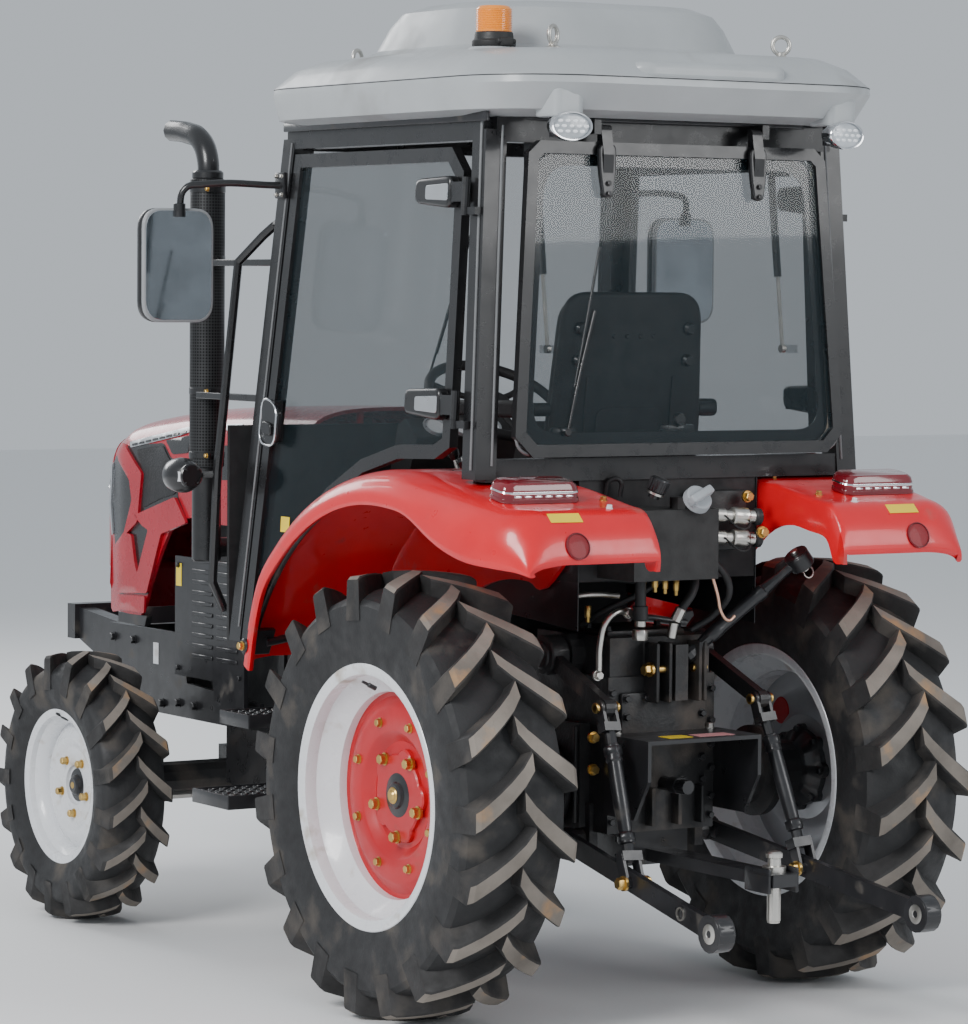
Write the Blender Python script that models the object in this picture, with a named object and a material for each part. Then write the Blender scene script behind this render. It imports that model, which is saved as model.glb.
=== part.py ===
"""Compact farm tractor with a four-post cab, modelled from separate named pieces.

Metres, +Z up. The nose points along -Y and the driver's left is +X. The origin is on the ground,
under the middle of the machine.
"""

import math

import bmesh
import bpy
from mathutils import Matrix, Vector

# Driving dimensions
FRONT_OVERHANG = 0.78       # front axle to the front end of the weight bracket
WHEELBASE = 1.79
REAR_OVERHANG = 0.935       # rear axle to the ball ends of the lower links
REAR_TYRE_R = 0.552
REAR_TYRE_WIDTH = 0.290
REAR_TRACK = 1.194
FRONT_TYRE_R = 0.380
FRONT_TYRE_WIDTH = 0.196
FRONT_TRACK = 1.200
CAB_TOP = 2.18              # top of the cab posts
ROOF_RISE = 0.311           # height of the roof over its own underside
HOOD_HALF_WIDTH = 0.315
HOOD_TOP = 1.47
GAP = 0.0003                # between pieces that touch
RUNNING_GAP = 0.0005        # between a moving piece and its seat

LENGTH = FRONT_OVERHANG + WHEELBASE + REAR_OVERHANG
REAR_AXLE_Y = LENGTH / 2 - REAR_OVERHANG
FRONT_AXLE_Y = REAR_AXLE_Y - WHEELBASE
REAR_AXLE_Z = REAR_TYRE_R
FRONT_AXLE_Z = FRONT_TYRE_R

# Rims
REAR_SEAT_R = 0.305
REAR_FLANGE_R = 0.330
REAR_RIM_HALF = 0.132
FRONT_SEAT_R = 0.2035
FRONT_FLANGE_R = 0.222
FRONT_RIM_HALF = 0.078
FLANGE_THICK = 0.0097
REAR_FACETS = 28            # shared by a rim and its tyre, so that their facets line up
FRONT_FACETS = 24

# Drive line
HOUSING_HALF_WIDTH = 0.160
HOUSING_BOTTOM = REAR_AXLE_Z - 0.102
HOUSING_TOP = 0.840
HOUSING_REAR_Y = REAR_AXLE_Y + 0.220
ENGINE_HALF_WIDTH = 0.190
ENGINE_BOTTOM = 0.600
ENGINE_TOP = 1.120
ENGINE_FRONT_Y = FRONT_AXLE_Y - 0.100
ENGINE_REAR_Y = REAR_AXLE_Y - 1.020
AXLE_TUBE_R = 0.075
REAR_HUB_X = REAR_TRACK / 2 - 0.050
KINGPIN_X = FRONT_TRACK / 2 - 0.140
KNUCKLE_HALF_HEIGHT = 0.080

# Cab
CAB_FRONT_Y = REAR_AXLE_Y - 0.900
CAB_REAR_Y = REAR_AXLE_Y + 0.250
FLOOR_TOP = 0.860
FLOOR_THICK = 0.020
POST = 0.060
SILL_TOP = 1.385            # top of the cross member under the rear window
SIDE_BASE_X = 0.570         # middle of the cab's side plane at floor height
SIDE_LEAN = 0.053           # how much the side plane leans in for each metre of height
DECK_TOP = 1.100
ROOF_BOTTOM = CAB_TOP + 0.030 + GAP
WALL_THICK = 0.012
WALL_FRONT_Y = CAB_FRONT_Y - POST / 2 - GAP - WALL_THICK
GLASS = 0.006

# Fenders
FENDER_TOP_R = 0.800
FENDER_LIP_R = 0.720
FENDER_WALL_R = 0.520
FENDER_IN_X = 0.270
FENDER_OUT_X = 0.720
FENDER_THICK = 0.010

# Hitch
LIFT_SHAFT = (REAR_AXLE_Y + 0.050, 0.885)
LIFT_ARM_TIP = (REAR_AXLE_Y + 0.317, 0.778)
LIFT_ARM_X = HOUSING_HALF_WIDTH + 0.072
ROD_LOW_END = (REAR_AXLE_Y + 0.481, 0.371)
LINK_PIVOT = (REAR_AXLE_Y + 0.120, 0.430)
LINK_PIVOT_X = HOUSING_HALF_WIDTH + 0.060
LINK_END = (REAR_AXLE_Y + REAR_OVERHANG - 0.045, 0.309)
LINK_END_X = 0.303
TOP_LINK_PIVOT = (-0.060, REAR_AXLE_Y + 0.250, 0.891)

# Hinge lines
HATCH_HINGE = (REAR_AXLE_Y + 0.275, CAB_TOP + 0.005)
HOOD_HINGE = (REAR_AXLE_Y - 1.050, HOOD_TOP - 0.042)
HOOD_EAR_X = 0.120
DOOR_HINGE_Y = REAR_AXLE_Y + 0.170
DOOR_HINGE_OUT = 0.048      # hinge line outside the side plane
DOOR_HINGE_HEIGHTS = (1.515, CAB_TOP - 0.150)
LAMP_X = 0.407
STRUT_X = 0.354
STRUT_TOP = (REAR_AXLE_Y + 0.170, CAB_TOP - 0.080)
STRUT_EYE = (REAR_AXLE_Y + 0.228, SILL_TOP + 0.266)

SIDES = {"left": 1, "right": -1}


# ---------------------------------------------------------------- shapes and objects

def mesh_from(points, faces):
    """Closed mesh from points and faces, with its faces pointing out."""
    mesh = bpy.data.meshes.new("shape")
    mesh.from_pydata([tuple(p) for p in points], [], faces)
    work = bmesh.new()
    work.from_mesh(mesh)
    bmesh.ops.connect_verts_nonplanar(work, angle_limit=math.radians(0.1), faces=work.faces)
    bmesh.ops.recalc_face_normals(work, faces=work.faces)
    work.to_mesh(mesh)
    work.free()
    return mesh


def loft(rings):
    """Solid through rings with equal numbers of points, closed by its first and last ring."""
    count = len(rings[0])
    points = [p for ring in rings for p in ring]
    faces = [list(range(count))]
    for level in range(len(rings) - 1):
        low = level * count
        for i in range(count):
            j = (i + 1) % count
            faces.append([low + i, low + j, low + count + j, low + count + i])
    faces.append(list(range(len(points) - count, len(points))))
    return mesh_from(points, faces)


def box(x, y, z):
    """Box between two values on each axis."""
    rings = [[(x[0], y[0], h), (x[1], y[0], h), (x[1], y[1], h), (x[0], y[1], h)] for h in z]
    return loft(rings)


def side_prism(outline, x0, x1):
    """Outline of (y, z) points carried along X."""
    return loft([[(x, y, z) for y, z in outline] for x in (x0, x1)])


def plan_prism(outline, z0, z1):
    """Outline of (x, y) points carried along Z."""
    return loft([[(x, y, z) for x, y in outline] for z in (z0, z1)])


def front_prism(outline, y0, y1):
    """Outline of (x, z) points carried along Y."""
    return loft([[(x, y, z) for x, z in outline] for y in (y0, y1)])


def basis(direction):
    """Two unit vectors square to a direction and to each other."""
    ahead = Vector(direction).normalized()
    rough = Vector((1, 0, 0)) if abs(ahead.x) < 0.8 else Vector((0, 0, 1))
    across = ahead.cross(rough).normalized()
    return across, ahead.cross(across).normalized()


def tube(route, radius, sides=10):
    """Round bar along a route of points, mitred at its bends."""
    route = [Vector(p) for p in route]
    rings = []
    across, up = basis(route[1] - route[0])
    for i, point in enumerate(route):
        before = (point - route[max(i - 1, 0)]).normalized()
        after = (route[min(i + 1, len(route) - 1)] - point).normalized()
        ahead = (before + after).normalized()
        across = (across - ahead * across.dot(ahead)).normalized()
        up = ahead.cross(across)
        turns = [2 * math.pi * k / sides for k in range(sides)]
        rings.append([point + radius * (across * math.cos(t) + up * math.sin(t)) for t in turns])
    return loft(rings)


def bar(start, end, width, height):
    """Flat bar between two points: width is measured across, near X, and height square to it."""
    start, end = Vector(start), Vector(end)
    ahead = (end - start).normalized()
    across = (Vector((1, 0, 0)) - ahead * ahead.x).normalized()
    up = across.cross(ahead)
    corners = ((-1, -1), (1, -1), (1, 1), (-1, 1))
    rings = []
    for point in (start, end):
        rings.append([point + across * width / 2 * a + up * height / 2 * b for a, b in corners])
    return loft(rings)


def post(low, high, width, depth):
    """Upright with a level rectangular section at both ends."""
    rings = []
    for x, y, z in (low, high):
        half_x, half_y = width / 2, depth / 2
        rings.append([(x - half_x, y - half_y, z), (x + half_x, y - half_y, z),
                      (x + half_x, y + half_y, z), (x - half_x, y + half_y, z)])
    return loft(rings)


def turned(profile, centre, side, segments):
    """Ring turned about a line along X. Profile points are (radius, outward distance), as a loop."""
    points = []
    for step in range(segments):
        turn = 2 * math.pi * (step + 0.5) / segments - math.pi / 2 - math.pi / segments
        for radius, out in profile:
            points.append((centre[0] + side * out, centre[1] + radius * math.cos(turn),
                           centre[2] + radius * math.sin(turn)))
    count = len(profile)
    faces = []
    for step in range(segments):
        here = step * count
        there = (step + 1) % segments * count
        for i in range(count):
            j = (i + 1) % count
            faces.append([here + i, here + j, there + j, there + i])
    mesh = mesh_from(points, faces)
    work = bmesh.new()
    work.from_mesh(mesh)
    bmesh.ops.remove_doubles(work, verts=work.verts, dist=1e-5)
    bmesh.ops.recalc_face_normals(work, faces=work.faces)
    work.to_mesh(mesh)
    work.free()
    return mesh


def rounded_plan(half_x, front, back, radius, back_radius, steps=3):
    """Plan outline with round corners, from the front left one onward."""
    corners = [(half_x - radius, front + radius, radius, -90), (half_x - back_radius, back - back_radius,
               back_radius, 0), (back_radius - half_x, back - back_radius, back_radius, 90),
               (radius - half_x, front + radius, radius, 180)]
    outline = []
    for x, y, r, start in corners:
        for k in range(steps + 1):
            turn = math.radians(start + 90 * k / steps)
            outline.append((x + r * math.cos(turn), y + r * math.sin(turn)))
    return outline


def inset(outline, distance):
    """Outline moved inward by a distance, with mitred corners. Points run anticlockwise."""
    moved = []
    count = len(outline)
    for i in range(count):
        here = Vector(outline[i])
        before = (here - Vector(outline[i - 1])).normalized()
        after = (Vector(outline[(i + 1) % count]) - here).normalized()
        normal_before = Vector((-before.y, before.x))
        normal_after = Vector((-after.y, after.x))
        middle = (normal_before + normal_after).normalized()
        moved.append(tuple(here + middle * distance / middle.dot(normal_before)))
    return moved


def boolean(base, tool, operation):
    """Mesh left when a tool mesh is joined to a base mesh, cut from it or kept in common with it."""
    body = bpy.data.objects.new("body", base)
    cutter = bpy.data.objects.new("cutter", tool)
    for item in (body, cutter):
        bpy.context.collection.objects.link(item)
    modifier = body.modifiers.new("Boolean", "BOOLEAN")
    modifier.operation = operation
    modifier.solver = "EXACT"
    modifier.object = cutter
    graph = bpy.context.evaluated_depsgraph_get()
    result = bpy.data.meshes.new_from_object(body.evaluated_get(graph))
    for item in (body, cutter):
        bpy.data.objects.remove(item)
    return result


def joined(shapes, cuts=()):
    """One body from overlapping shapes, less the cuts."""
    result = shapes[0]
    for shape in shapes[1:]:
        result = boolean(result, shape, "UNION")
    for cut in cuts:
        result = boolean(result, cut, "DIFFERENCE")
    return result


def material(name, colour, roughness, metallic=0.0):
    """Plain Principled material."""
    made = bpy.data.materials.new(name)
    made.use_nodes = True
    shader = made.node_tree.nodes["Principled BSDF"]
    shader.inputs["Base Color"].default_value = (*colour, 1.0)
    shader.inputs["Roughness"].default_value = roughness
    shader.inputs["Metallic"].default_value = metallic
    made.diffuse_color = (*colour, 1.0)
    return made


PAINTS = {
    "red": ((0.62, 0.01, 0.015), 0.25, 0.0),
    "dark_red": ((0.30, 0.01, 0.03), 0.25, 0.0),
    "black": ((0.012, 0.012, 0.013), 0.40, 0.0),
    "roof_grey": ((0.38, 0.41, 0.43), 0.45, 0.0),
    "rubber": ((0.02, 0.02, 0.02), 0.85, 0.0),
    "white": ((0.80, 0.80, 0.80), 0.35, 0.0),
    "steel": ((0.55, 0.55, 0.55), 0.35, 1.0),
    "glass": ((0.10, 0.22, 0.24), 0.05, 0.0),
    "lamp_red": ((0.35, 0.0, 0.02), 0.15, 0.0),
    "amber": ((0.90, 0.30, 0.01), 0.20, 0.0),
    "plastic": ((0.02, 0.02, 0.022), 0.60, 0.0),
}


def piece(name, paint, mesh, pivot=None):
    """Named object with its own material. A moving piece is parented to an empty on its joint."""
    made = bpy.data.objects.new(name, mesh)
    made.data.name = name
    bpy.context.collection.objects.link(made)
    made.data.materials.clear()
    made.data.materials.append(material(name, *PAINTS[paint]))
    made.data.shade_smooth()
    made.data.set_sharp_from_angle(angle=math.radians(35))
    if pivot is not None:
        made.parent = pivot
        made.matrix_parent_inverse = Matrix.Translation(-pivot.location)
    return made


def pivot_at(name, place):
    """Empty that marks a joint's place."""
    empty = bpy.data.objects.new(name, None)
    empty.location = place
    empty.empty_display_size = 0.1
    bpy.context.collection.objects.link(empty)
    return empty


def across_tube(x0, x1, y, z, radius, sides=16):
    """Round bar along X."""
    return tube([(x0, y, z), (x1, y, z)], radius, sides)


# ---------------------------------------------------------------- places that pieces share

def side_x(z):
    """Middle of the cab's side plane at a height."""
    return SIDE_BASE_X - SIDE_LEAN * (z - FLOOR_TOP)


def front_post_y(z):
    """Middle of the front posts at a height: they lean back."""
    return CAB_FRONT_Y + 0.160 * (z - FLOOR_TOP) / (CAB_TOP - FLOOR_TOP)


def rear_post_y(z):
    """Middle of the rear posts at a height: they lean forward a little."""
    return CAB_REAR_Y - POST / 2 - 0.030 * (z - SILL_TOP) / (CAB_TOP - SILL_TOP)


def polar(radius, degrees):
    """Point at a radius round the rear axle. 0 degrees points to the rear and 90 up."""
    turn = math.radians(degrees)
    return REAR_AXLE_Y + radius * math.cos(turn), REAR_AXLE_Z + radius * math.sin(turn)


def deck_z(y):
    """Height of the fender's rear deck, which slopes down to the back."""
    return REAR_AXLE_Z + 0.763 - 0.176 * (y - REAR_AXLE_Y - 0.300)


# ---------------------------------------------------------------- wheels and front axle

def tyre_profile(radius, width, seat, rim_half, sag):
    """Open-bottomed tyre section, as a loop of (radius, outward distance)."""
    bead_out = rim_half - FLANGE_THICK - GAP
    bead_in = bead_out - 0.022
    half = width / 2
    height = radius - seat
    outer = [(radius, half - 0.30 * sag), (seat + 0.62 * height, half), (seat + 0.030, bead_out),
             (seat + GAP, bead_out)]
    inner = [(seat + GAP, bead_in), (radius - 0.030, half - 0.60 * sag)]
    positive = outer + inner
    return positive + [(r, -x) for r, x in reversed(positive)]


def rim_profile(seat, flange, half, well, disc_out, disc_in):
    """Rim section with its disc. The disc's outer and inner faces run from or to the wheel's axis."""
    inside = [(well - 0.007, 0.36 * half), (flange - 0.010, half)]
    barrel = [(flange, half), (flange, half - FLANGE_THICK), (seat, half - FLANGE_THICK),
              (seat, 0.62 * half), (well, 0.36 * half)]
    far_side = [(r, -x) for r, x in reversed(inside + barrel)]
    return disc_out + inside + barrel + far_side + disc_in


def build_wheels():
    """Tyres and wheels. Each wheel carries its own hub."""
    disc_out = [(0.0, 0.058), (0.034, 0.058), (0.036, 0.036), (0.092, 0.026), (0.135, 0.022),
                (0.160, 0.044), (0.215, 0.044), (0.253, 0.030)]
    disc_in = [(0.253, 0.020), (0.215, 0.034), (0.160, 0.034), (0.135, 0.012), (0.090, -0.020),
               (0.056, -0.050 + RUNNING_GAP), (0.0, -0.050 + RUNNING_GAP)]
    small_out = [(0.0, 0.036), (0.046, 0.036), (0.048, 0.026), (0.110, 0.026), (0.135, 0.038),
                 (0.178, 0.015)]
    small_in = [(0.178, 0.004), (0.135, 0.028), (0.110, 0.014), (0.060, 0.014),
                (0.060, -0.040 + RUNNING_GAP), (0.0, -0.040 + RUNNING_GAP)]
    for name, side in SIDES.items():
        centre = (side * REAR_TRACK / 2, REAR_AXLE_Y, REAR_AXLE_Z)
        hub = pivot_at(f"rear_axle_{name}", centre)
        profile = tyre_profile(REAR_TYRE_R, REAR_TYRE_WIDTH, REAR_SEAT_R, REAR_RIM_HALF, 0.050)
        piece(f"rear_tyre_{name}", "rubber", turned(profile, centre, side, REAR_FACETS), hub)
        profile = rim_profile(REAR_SEAT_R, REAR_FLANGE_R, REAR_RIM_HALF, 0.264, disc_out, disc_in)
        piece(f"rear_wheel_{name}", "white", turned(profile, centre, side, REAR_FACETS), hub)
        centre = (side * FRONT_TRACK / 2, FRONT_AXLE_Y, FRONT_AXLE_Z)
        hub = pivot_at(f"front_axle_end_{name}", centre)
        profile = tyre_profile(FRONT_TYRE_R, FRONT_TYRE_WIDTH, FRONT_SEAT_R, FRONT_RIM_HALF, 0.036)
        piece(f"front_tyre_{name}", "rubber", turned(profile, centre, side, FRONT_FACETS), hub)
        profile = rim_profile(FRONT_SEAT_R, FRONT_FLANGE_R, FRONT_RIM_HALF, 0.188, small_out, small_in)
        piece(f"front_wheel_{name}", "white", turned(profile, centre, side, FRONT_FACETS), hub)


def build_front_axle():
    """Beam with forked ends, the knuckles between the forks, and the tie rod behind."""
    y, z = FRONT_AXLE_Y, FRONT_AXLE_Z
    ear_low = KNUCKLE_HALF_HEIGHT + RUNNING_GAP
    ear_high = ear_low + 0.032
    shapes = [across_tube(-KINGPIN_X + 0.070, KINGPIN_X - 0.070, y, z, 0.050, 12),
              box((-0.110, 0.110), (y - 0.100, y + 0.090), (z - 0.085, z + 0.080)),
              box((-0.050, 0.050), (y - 0.080, y + 0.080), (z, 0.560 - GAP))]
    for side in (1, -1):
        inner, outer = sorted((side * (KINGPIN_X - 0.095), side * (KINGPIN_X - 0.055)))
        shapes.append(box((inner, outer), (y - 0.042, y + 0.042), (z - ear_high, z + ear_high)))
        for flip in (1, -1):
            low, high = sorted((z + flip * ear_low, z + flip * ear_high))
            shapes.append(tube([(side * KINGPIN_X, y, low), (side * KINGPIN_X, y, high)], 0.040, 16))
            reach = sorted((side * (KINGPIN_X - 0.060), side * KINGPIN_X))
            shapes.append(box(reach, (y - 0.036, y + 0.036), (low, high)))
    piece("front_axle", "black", joined(shapes))

    arm_end_y = y + 0.120
    for name, side in SIDES.items():
        kingpin = pivot_at(f"kingpin_{name}", (side * KINGPIN_X, y, z))
        arm_x = sorted((side * (KINGPIN_X - 0.014), side * (KINGPIN_X + 0.014)))
        knuckle = joined([
            tube([(side * KINGPIN_X, y, z - KNUCKLE_HALF_HEIGHT),
                  (side * KINGPIN_X, y, z + KNUCKLE_HALF_HEIGHT)], 0.042, 16),
            across_tube(side * KINGPIN_X, side * (FRONT_TRACK / 2 - 0.040), y, z, 0.055, 16),
            box(arm_x, (y + 0.010, arm_end_y + 0.018), (z - 0.074, z - 0.054)),
        ])
        piece(f"knuckle_{name}", "black", knuckle, kingpin)

    rod_z = z - 0.054 + RUNNING_GAP
    shapes = [across_tube(-KINGPIN_X, KINGPIN_X, arm_end_y, rod_z + 0.024, 0.012, 10)]
    for side in (1, -1):
        centre = side * KINGPIN_X
        shapes.append(tube([(centre, arm_end_y, rod_z), (centre, arm_end_y, rod_z + 0.040)], 0.016, 12))
    rod = pivot_at("tie_rod_middle", (0, arm_end_y, rod_z + 0.024))
    piece("tie_rod", "steel", joined(shapes), rod)


# ---------------------------------------------------------------- chassis and drive line

def build_chassis():
    """Front frame with its weight bracket, engine block, transmission housing and tank."""
    plate_out, plate_in = 0.300, 0.286
    frame_front = FRONT_AXLE_Y - 0.430
    frame_rear = FRONT_AXLE_Y + 0.490
    bracket_front = FRONT_AXLE_Y - FRONT_OVERHANG
    shapes = []
    for side in (1, -1):
        x = sorted((side * plate_in, side * plate_out))
        shapes.append(side_prism([(frame_front, 0.600), (frame_front + 0.080, 0.560), (frame_rear, 0.560),
                                  (frame_rear, 0.640), (FRONT_AXLE_Y + 0.060, 0.660),
                                  (FRONT_AXLE_Y + 0.020, 0.800), (frame_front, 0.800)], *x))
        arm = sorted((side * 0.200, side * 0.250))
        shapes.append(side_prism([(bracket_front + 0.020, 0.735), (frame_front + 0.010, 0.620),
                                  (frame_front + 0.010, 0.790), (bracket_front + 0.020, 0.822)], *arm))
        face = sorted((side * 0.338, side * 0.350))
        foot = sorted((side * plate_in, side * 0.345))
        notch_y, notch_z = FRONT_AXLE_Y + 0.325, 0.690
        shapes.append(side_prism([(FRONT_AXLE_Y + 0.080, notch_z), (notch_y - 0.020, notch_z), (notch_y, 0.600),
                                  (frame_rear, 0.600), (frame_rear, 1.030), (FRONT_AXLE_Y + 0.080, 1.030)], *face))
        shapes.append(box(foot, (notch_y + 0.002, frame_rear - 0.010), (0.602, 0.630)))
    shapes.append(box((-0.290, 0.290), (frame_front, frame_front + 0.030), (0.600, 0.790)))
    shapes.append(box((-0.290, 0.290), (frame_front + 0.070, FRONT_AXLE_Y + 0.110),
                      (0.560, ENGINE_BOTTOM - GAP)))
    shapes.append(box((-0.290, 0.290), (frame_rear - 0.120, frame_rear), (0.570, ENGINE_BOTTOM - GAP)))
    shapes.append(box((-0.265, 0.265), (bracket_front, bracket_front + 0.050), (0.725, 0.830)))
    piece("front_frame", "black", joined(shapes))

    engine = box((-ENGINE_HALF_WIDTH, ENGINE_HALF_WIDTH), (ENGINE_FRONT_Y, ENGINE_REAR_Y),
                 (ENGINE_BOTTOM, ENGINE_TOP))
    piece("engine_block", "black", engine)

    half, rear = HOUSING_HALF_WIDTH, HOUSING_REAR_Y
    front = ENGINE_REAR_Y + GAP
    shapes = [
        box((-half, half), (front, rear), (HOUSING_BOTTOM, HOUSING_TOP - 0.001)),
        box((-half - 0.030, half + 0.030), (REAR_AXLE_Y - 0.150, REAR_AXLE_Y + 0.140),
            (HOUSING_BOTTOM + 0.010, 0.720)),
        across_tube(-half - 0.030, half + 0.030, *LIFT_SHAFT, 0.055, 16),
        box((-half + 0.010, half - 0.010), (REAR_AXLE_Y - 0.120, rear - 0.010), (0.800, 0.935)),
        across_tube(-REAR_HUB_X, REAR_HUB_X, REAR_AXLE_Y, REAR_AXLE_Z, AXLE_TUBE_R, 16),
        box((TOP_LINK_PIVOT[0] + 0.0225, 0.000), (rear - 0.030, TOP_LINK_PIVOT[1] + 0.030),
            (0.780, TOP_LINK_PIVOT[2] + 0.028)),
    ]
    for side in (1, -1):
        end = side * (LINK_PIVOT_X - 0.015 - RUNNING_GAP)
        shapes.append(across_tube(side * (half - 0.010), end, *LINK_PIVOT, 0.026, 12))
        plate = sorted((side * (half - 0.012), side * (half + 0.012)))
        shapes.append(box(plate, (REAR_AXLE_Y + 0.040, LINK_PIVOT[0] + 0.040), (0.395, 0.520)))
    piece("transmission_housing", "black", joined(shapes))

    tank_rear = REAR_AXLE_Y - 0.990
    tank = box((half + 0.001, 0.410), (tank_rear - 0.300, tank_rear), (0.430, 0.590))
    saddle = box((half + GAP, half + 0.030), (ENGINE_REAR_Y + 0.002, tank_rear - 0.005), (0.460, 0.560))
    piece("fuel_tank", "plastic", joined([tank, saddle]))


def build_hood():
    """Hollow hood with a rounded nose, hinged at its rear top edge."""
    rear = HOOD_HINGE[0] + 0.010
    nose = FRONT_AXLE_Y - 0.610
    low = 1.125

    def shell(step):
        """Solid hood outline, or with a step the hollow inside it, which is open below and behind."""
        edge = [(FRONT_AXLE_Y, HOOD_TOP - 0.020 - step), (nose + 0.260, HOOD_TOP - 0.065 - step),
                (nose + 0.090 + step, HOOD_TOP - 0.140 - step), (nose + step, HOOD_TOP - 0.270),
                (nose + 0.010 + step, 1.040), (nose + 0.110 + step, 0.980)]
        if step:
            outline = [(rear + 0.050, 0.500), (rear + 0.050, HOOD_TOP - step)] + edge
            outline += [(nose + 0.170 + step, 0.835), (nose + 0.170 + step, 0.500)]
        else:
            outline = [(rear, low), (rear, HOOD_TOP)] + edge
            outline += [(nose + 0.170, 0.835), (nose + 0.410, 0.835), (nose + 0.500, 0.980), (nose + 0.640, low)]
        half = HOOD_HALF_WIDTH - step
        corner = [(0.22, 0.0), (0.62, 0.045), (0.88, 0.130), (1.0, 0.300)]
        plan = [(half * a, nose + b + step) for a, b in corner] + [(half * 0.98, rear + 0.1)]
        plan += [(-x, y) for x, y in reversed(plan)]
        top = HOOD_TOP - step
        section = [(half, 0.3), (half, top - 0.150), (half * 0.93, top - 0.070), (half * 0.72, top - 0.018),
                   (half * 0.35, top)]
        section += [(-x, z) for x, z in reversed(section)]
        made = boolean(side_prism(outline, -1.0, 1.0), plan_prism(plan, 0.3, 2.0), "INTERSECT")
        return boolean(made, front_prism(section, nose - 0.5, rear + 0.5), "INTERSECT")

    hinge = pivot_at("hood_hinge", (0, *HOOD_HINGE))
    skin = boolean(shell(0.0), shell(0.012), "DIFFERENCE")
    ears = []
    for side in (1, -1):
        reach = sorted((side * (HOOD_EAR_X + RUNNING_GAP), side * (HOOD_EAR_X + 0.016)))
        ears.append(box(reach, (HOOD_HINGE[0] - 0.016, HOOD_HINGE[0] + 0.007), (HOOD_HINGE[1] - 0.014, HOOD_TOP - 0.006)))
    piece("hood", "dark_red", joined([skin] + ears), hinge)



def build_exhaust():
    """Upright stack beside the hood, with its inlet pipe and two brackets to the front post."""
    x, y = 0.470, REAR_AXLE_Y - 1.300
    top = CAB_TOP - 0.055
    shapes = [
        tube([(x, y, 1.040), (x, y, top)], 0.048, 16),
        tube([(ENGINE_HALF_WIDTH + GAP, y + 0.003, 1.080), (x - 0.011, y + 0.003, 1.080)], 0.028, 12),
        tube([(x + 0.001, y - 0.002, top - 0.040), (x + 0.001, y - 0.002, top + 0.050),
              (x + 0.001, y - 0.060, top + 0.105), (x + 0.001, y - 0.215, top + 0.120)], 0.032, 12),
    ]
    for z in (1.500, CAB_TOP - 0.320):
        end_y = front_post_y(z) - POST / 2 - GAP
        lean = 0.010 * 0.160 / (CAB_TOP - FLOOR_TOP)
        shapes.append(loft([[(side_x(z) - 0.045, y + 0.030, h), (side_x(z) - 0.015, y + 0.030, h),
                             (side_x(z) - 0.015, end_y + s, h), (side_x(z) - 0.045, end_y + s, h)]
                            for h, s in ((z - 0.010, -lean), (z + 0.010, lean))]))
    piece("exhaust_stack", "black", joined(shapes))


# ---------------------------------------------------------------- cab

def door_hinge_point(side, z):
    """Point of a door's leaning hinge line at a height."""
    return side * (side_x(z) + DOOR_HINGE_OUT), DOOR_HINGE_Y, z


def hinge_lugs():
    """Lugs on the rear posts and the top ring that carry the doors and the rear window."""
    lugs = []
    for side in (1, -1):
        for z in DOOR_HINGE_HEIGHTS:
            x = side * (side_x(z) + DOOR_HINGE_OUT)
            top = z - 0.035 - RUNNING_GAP
            lugs.append(tube([door_hinge_point(side, top - 0.022), door_hinge_point(side, top)], 0.010, 10))
            reach = sorted((side * (side_x(z) + 0.010), x + side * 0.004))
            lugs.append(box(reach, (DOOR_HINGE_Y - 0.008, DOOR_HINGE_Y + 0.050), (top - 0.020, top - 0.002)))
        reach = sorted((side * (0.241 + RUNNING_GAP), side * 0.262))
        y, z = HATCH_HINGE
        back = rear_post_y(CAB_TOP) + POST / 2
        lugs.append(side_prism([(y - 0.012, z - 0.012), (y + 0.012, z - 0.012), (y + 0.012, z + 0.023),
                                (back - 0.010, z + 0.023), (back - 0.010, z + 0.002)], *reach))
    return lugs


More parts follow.
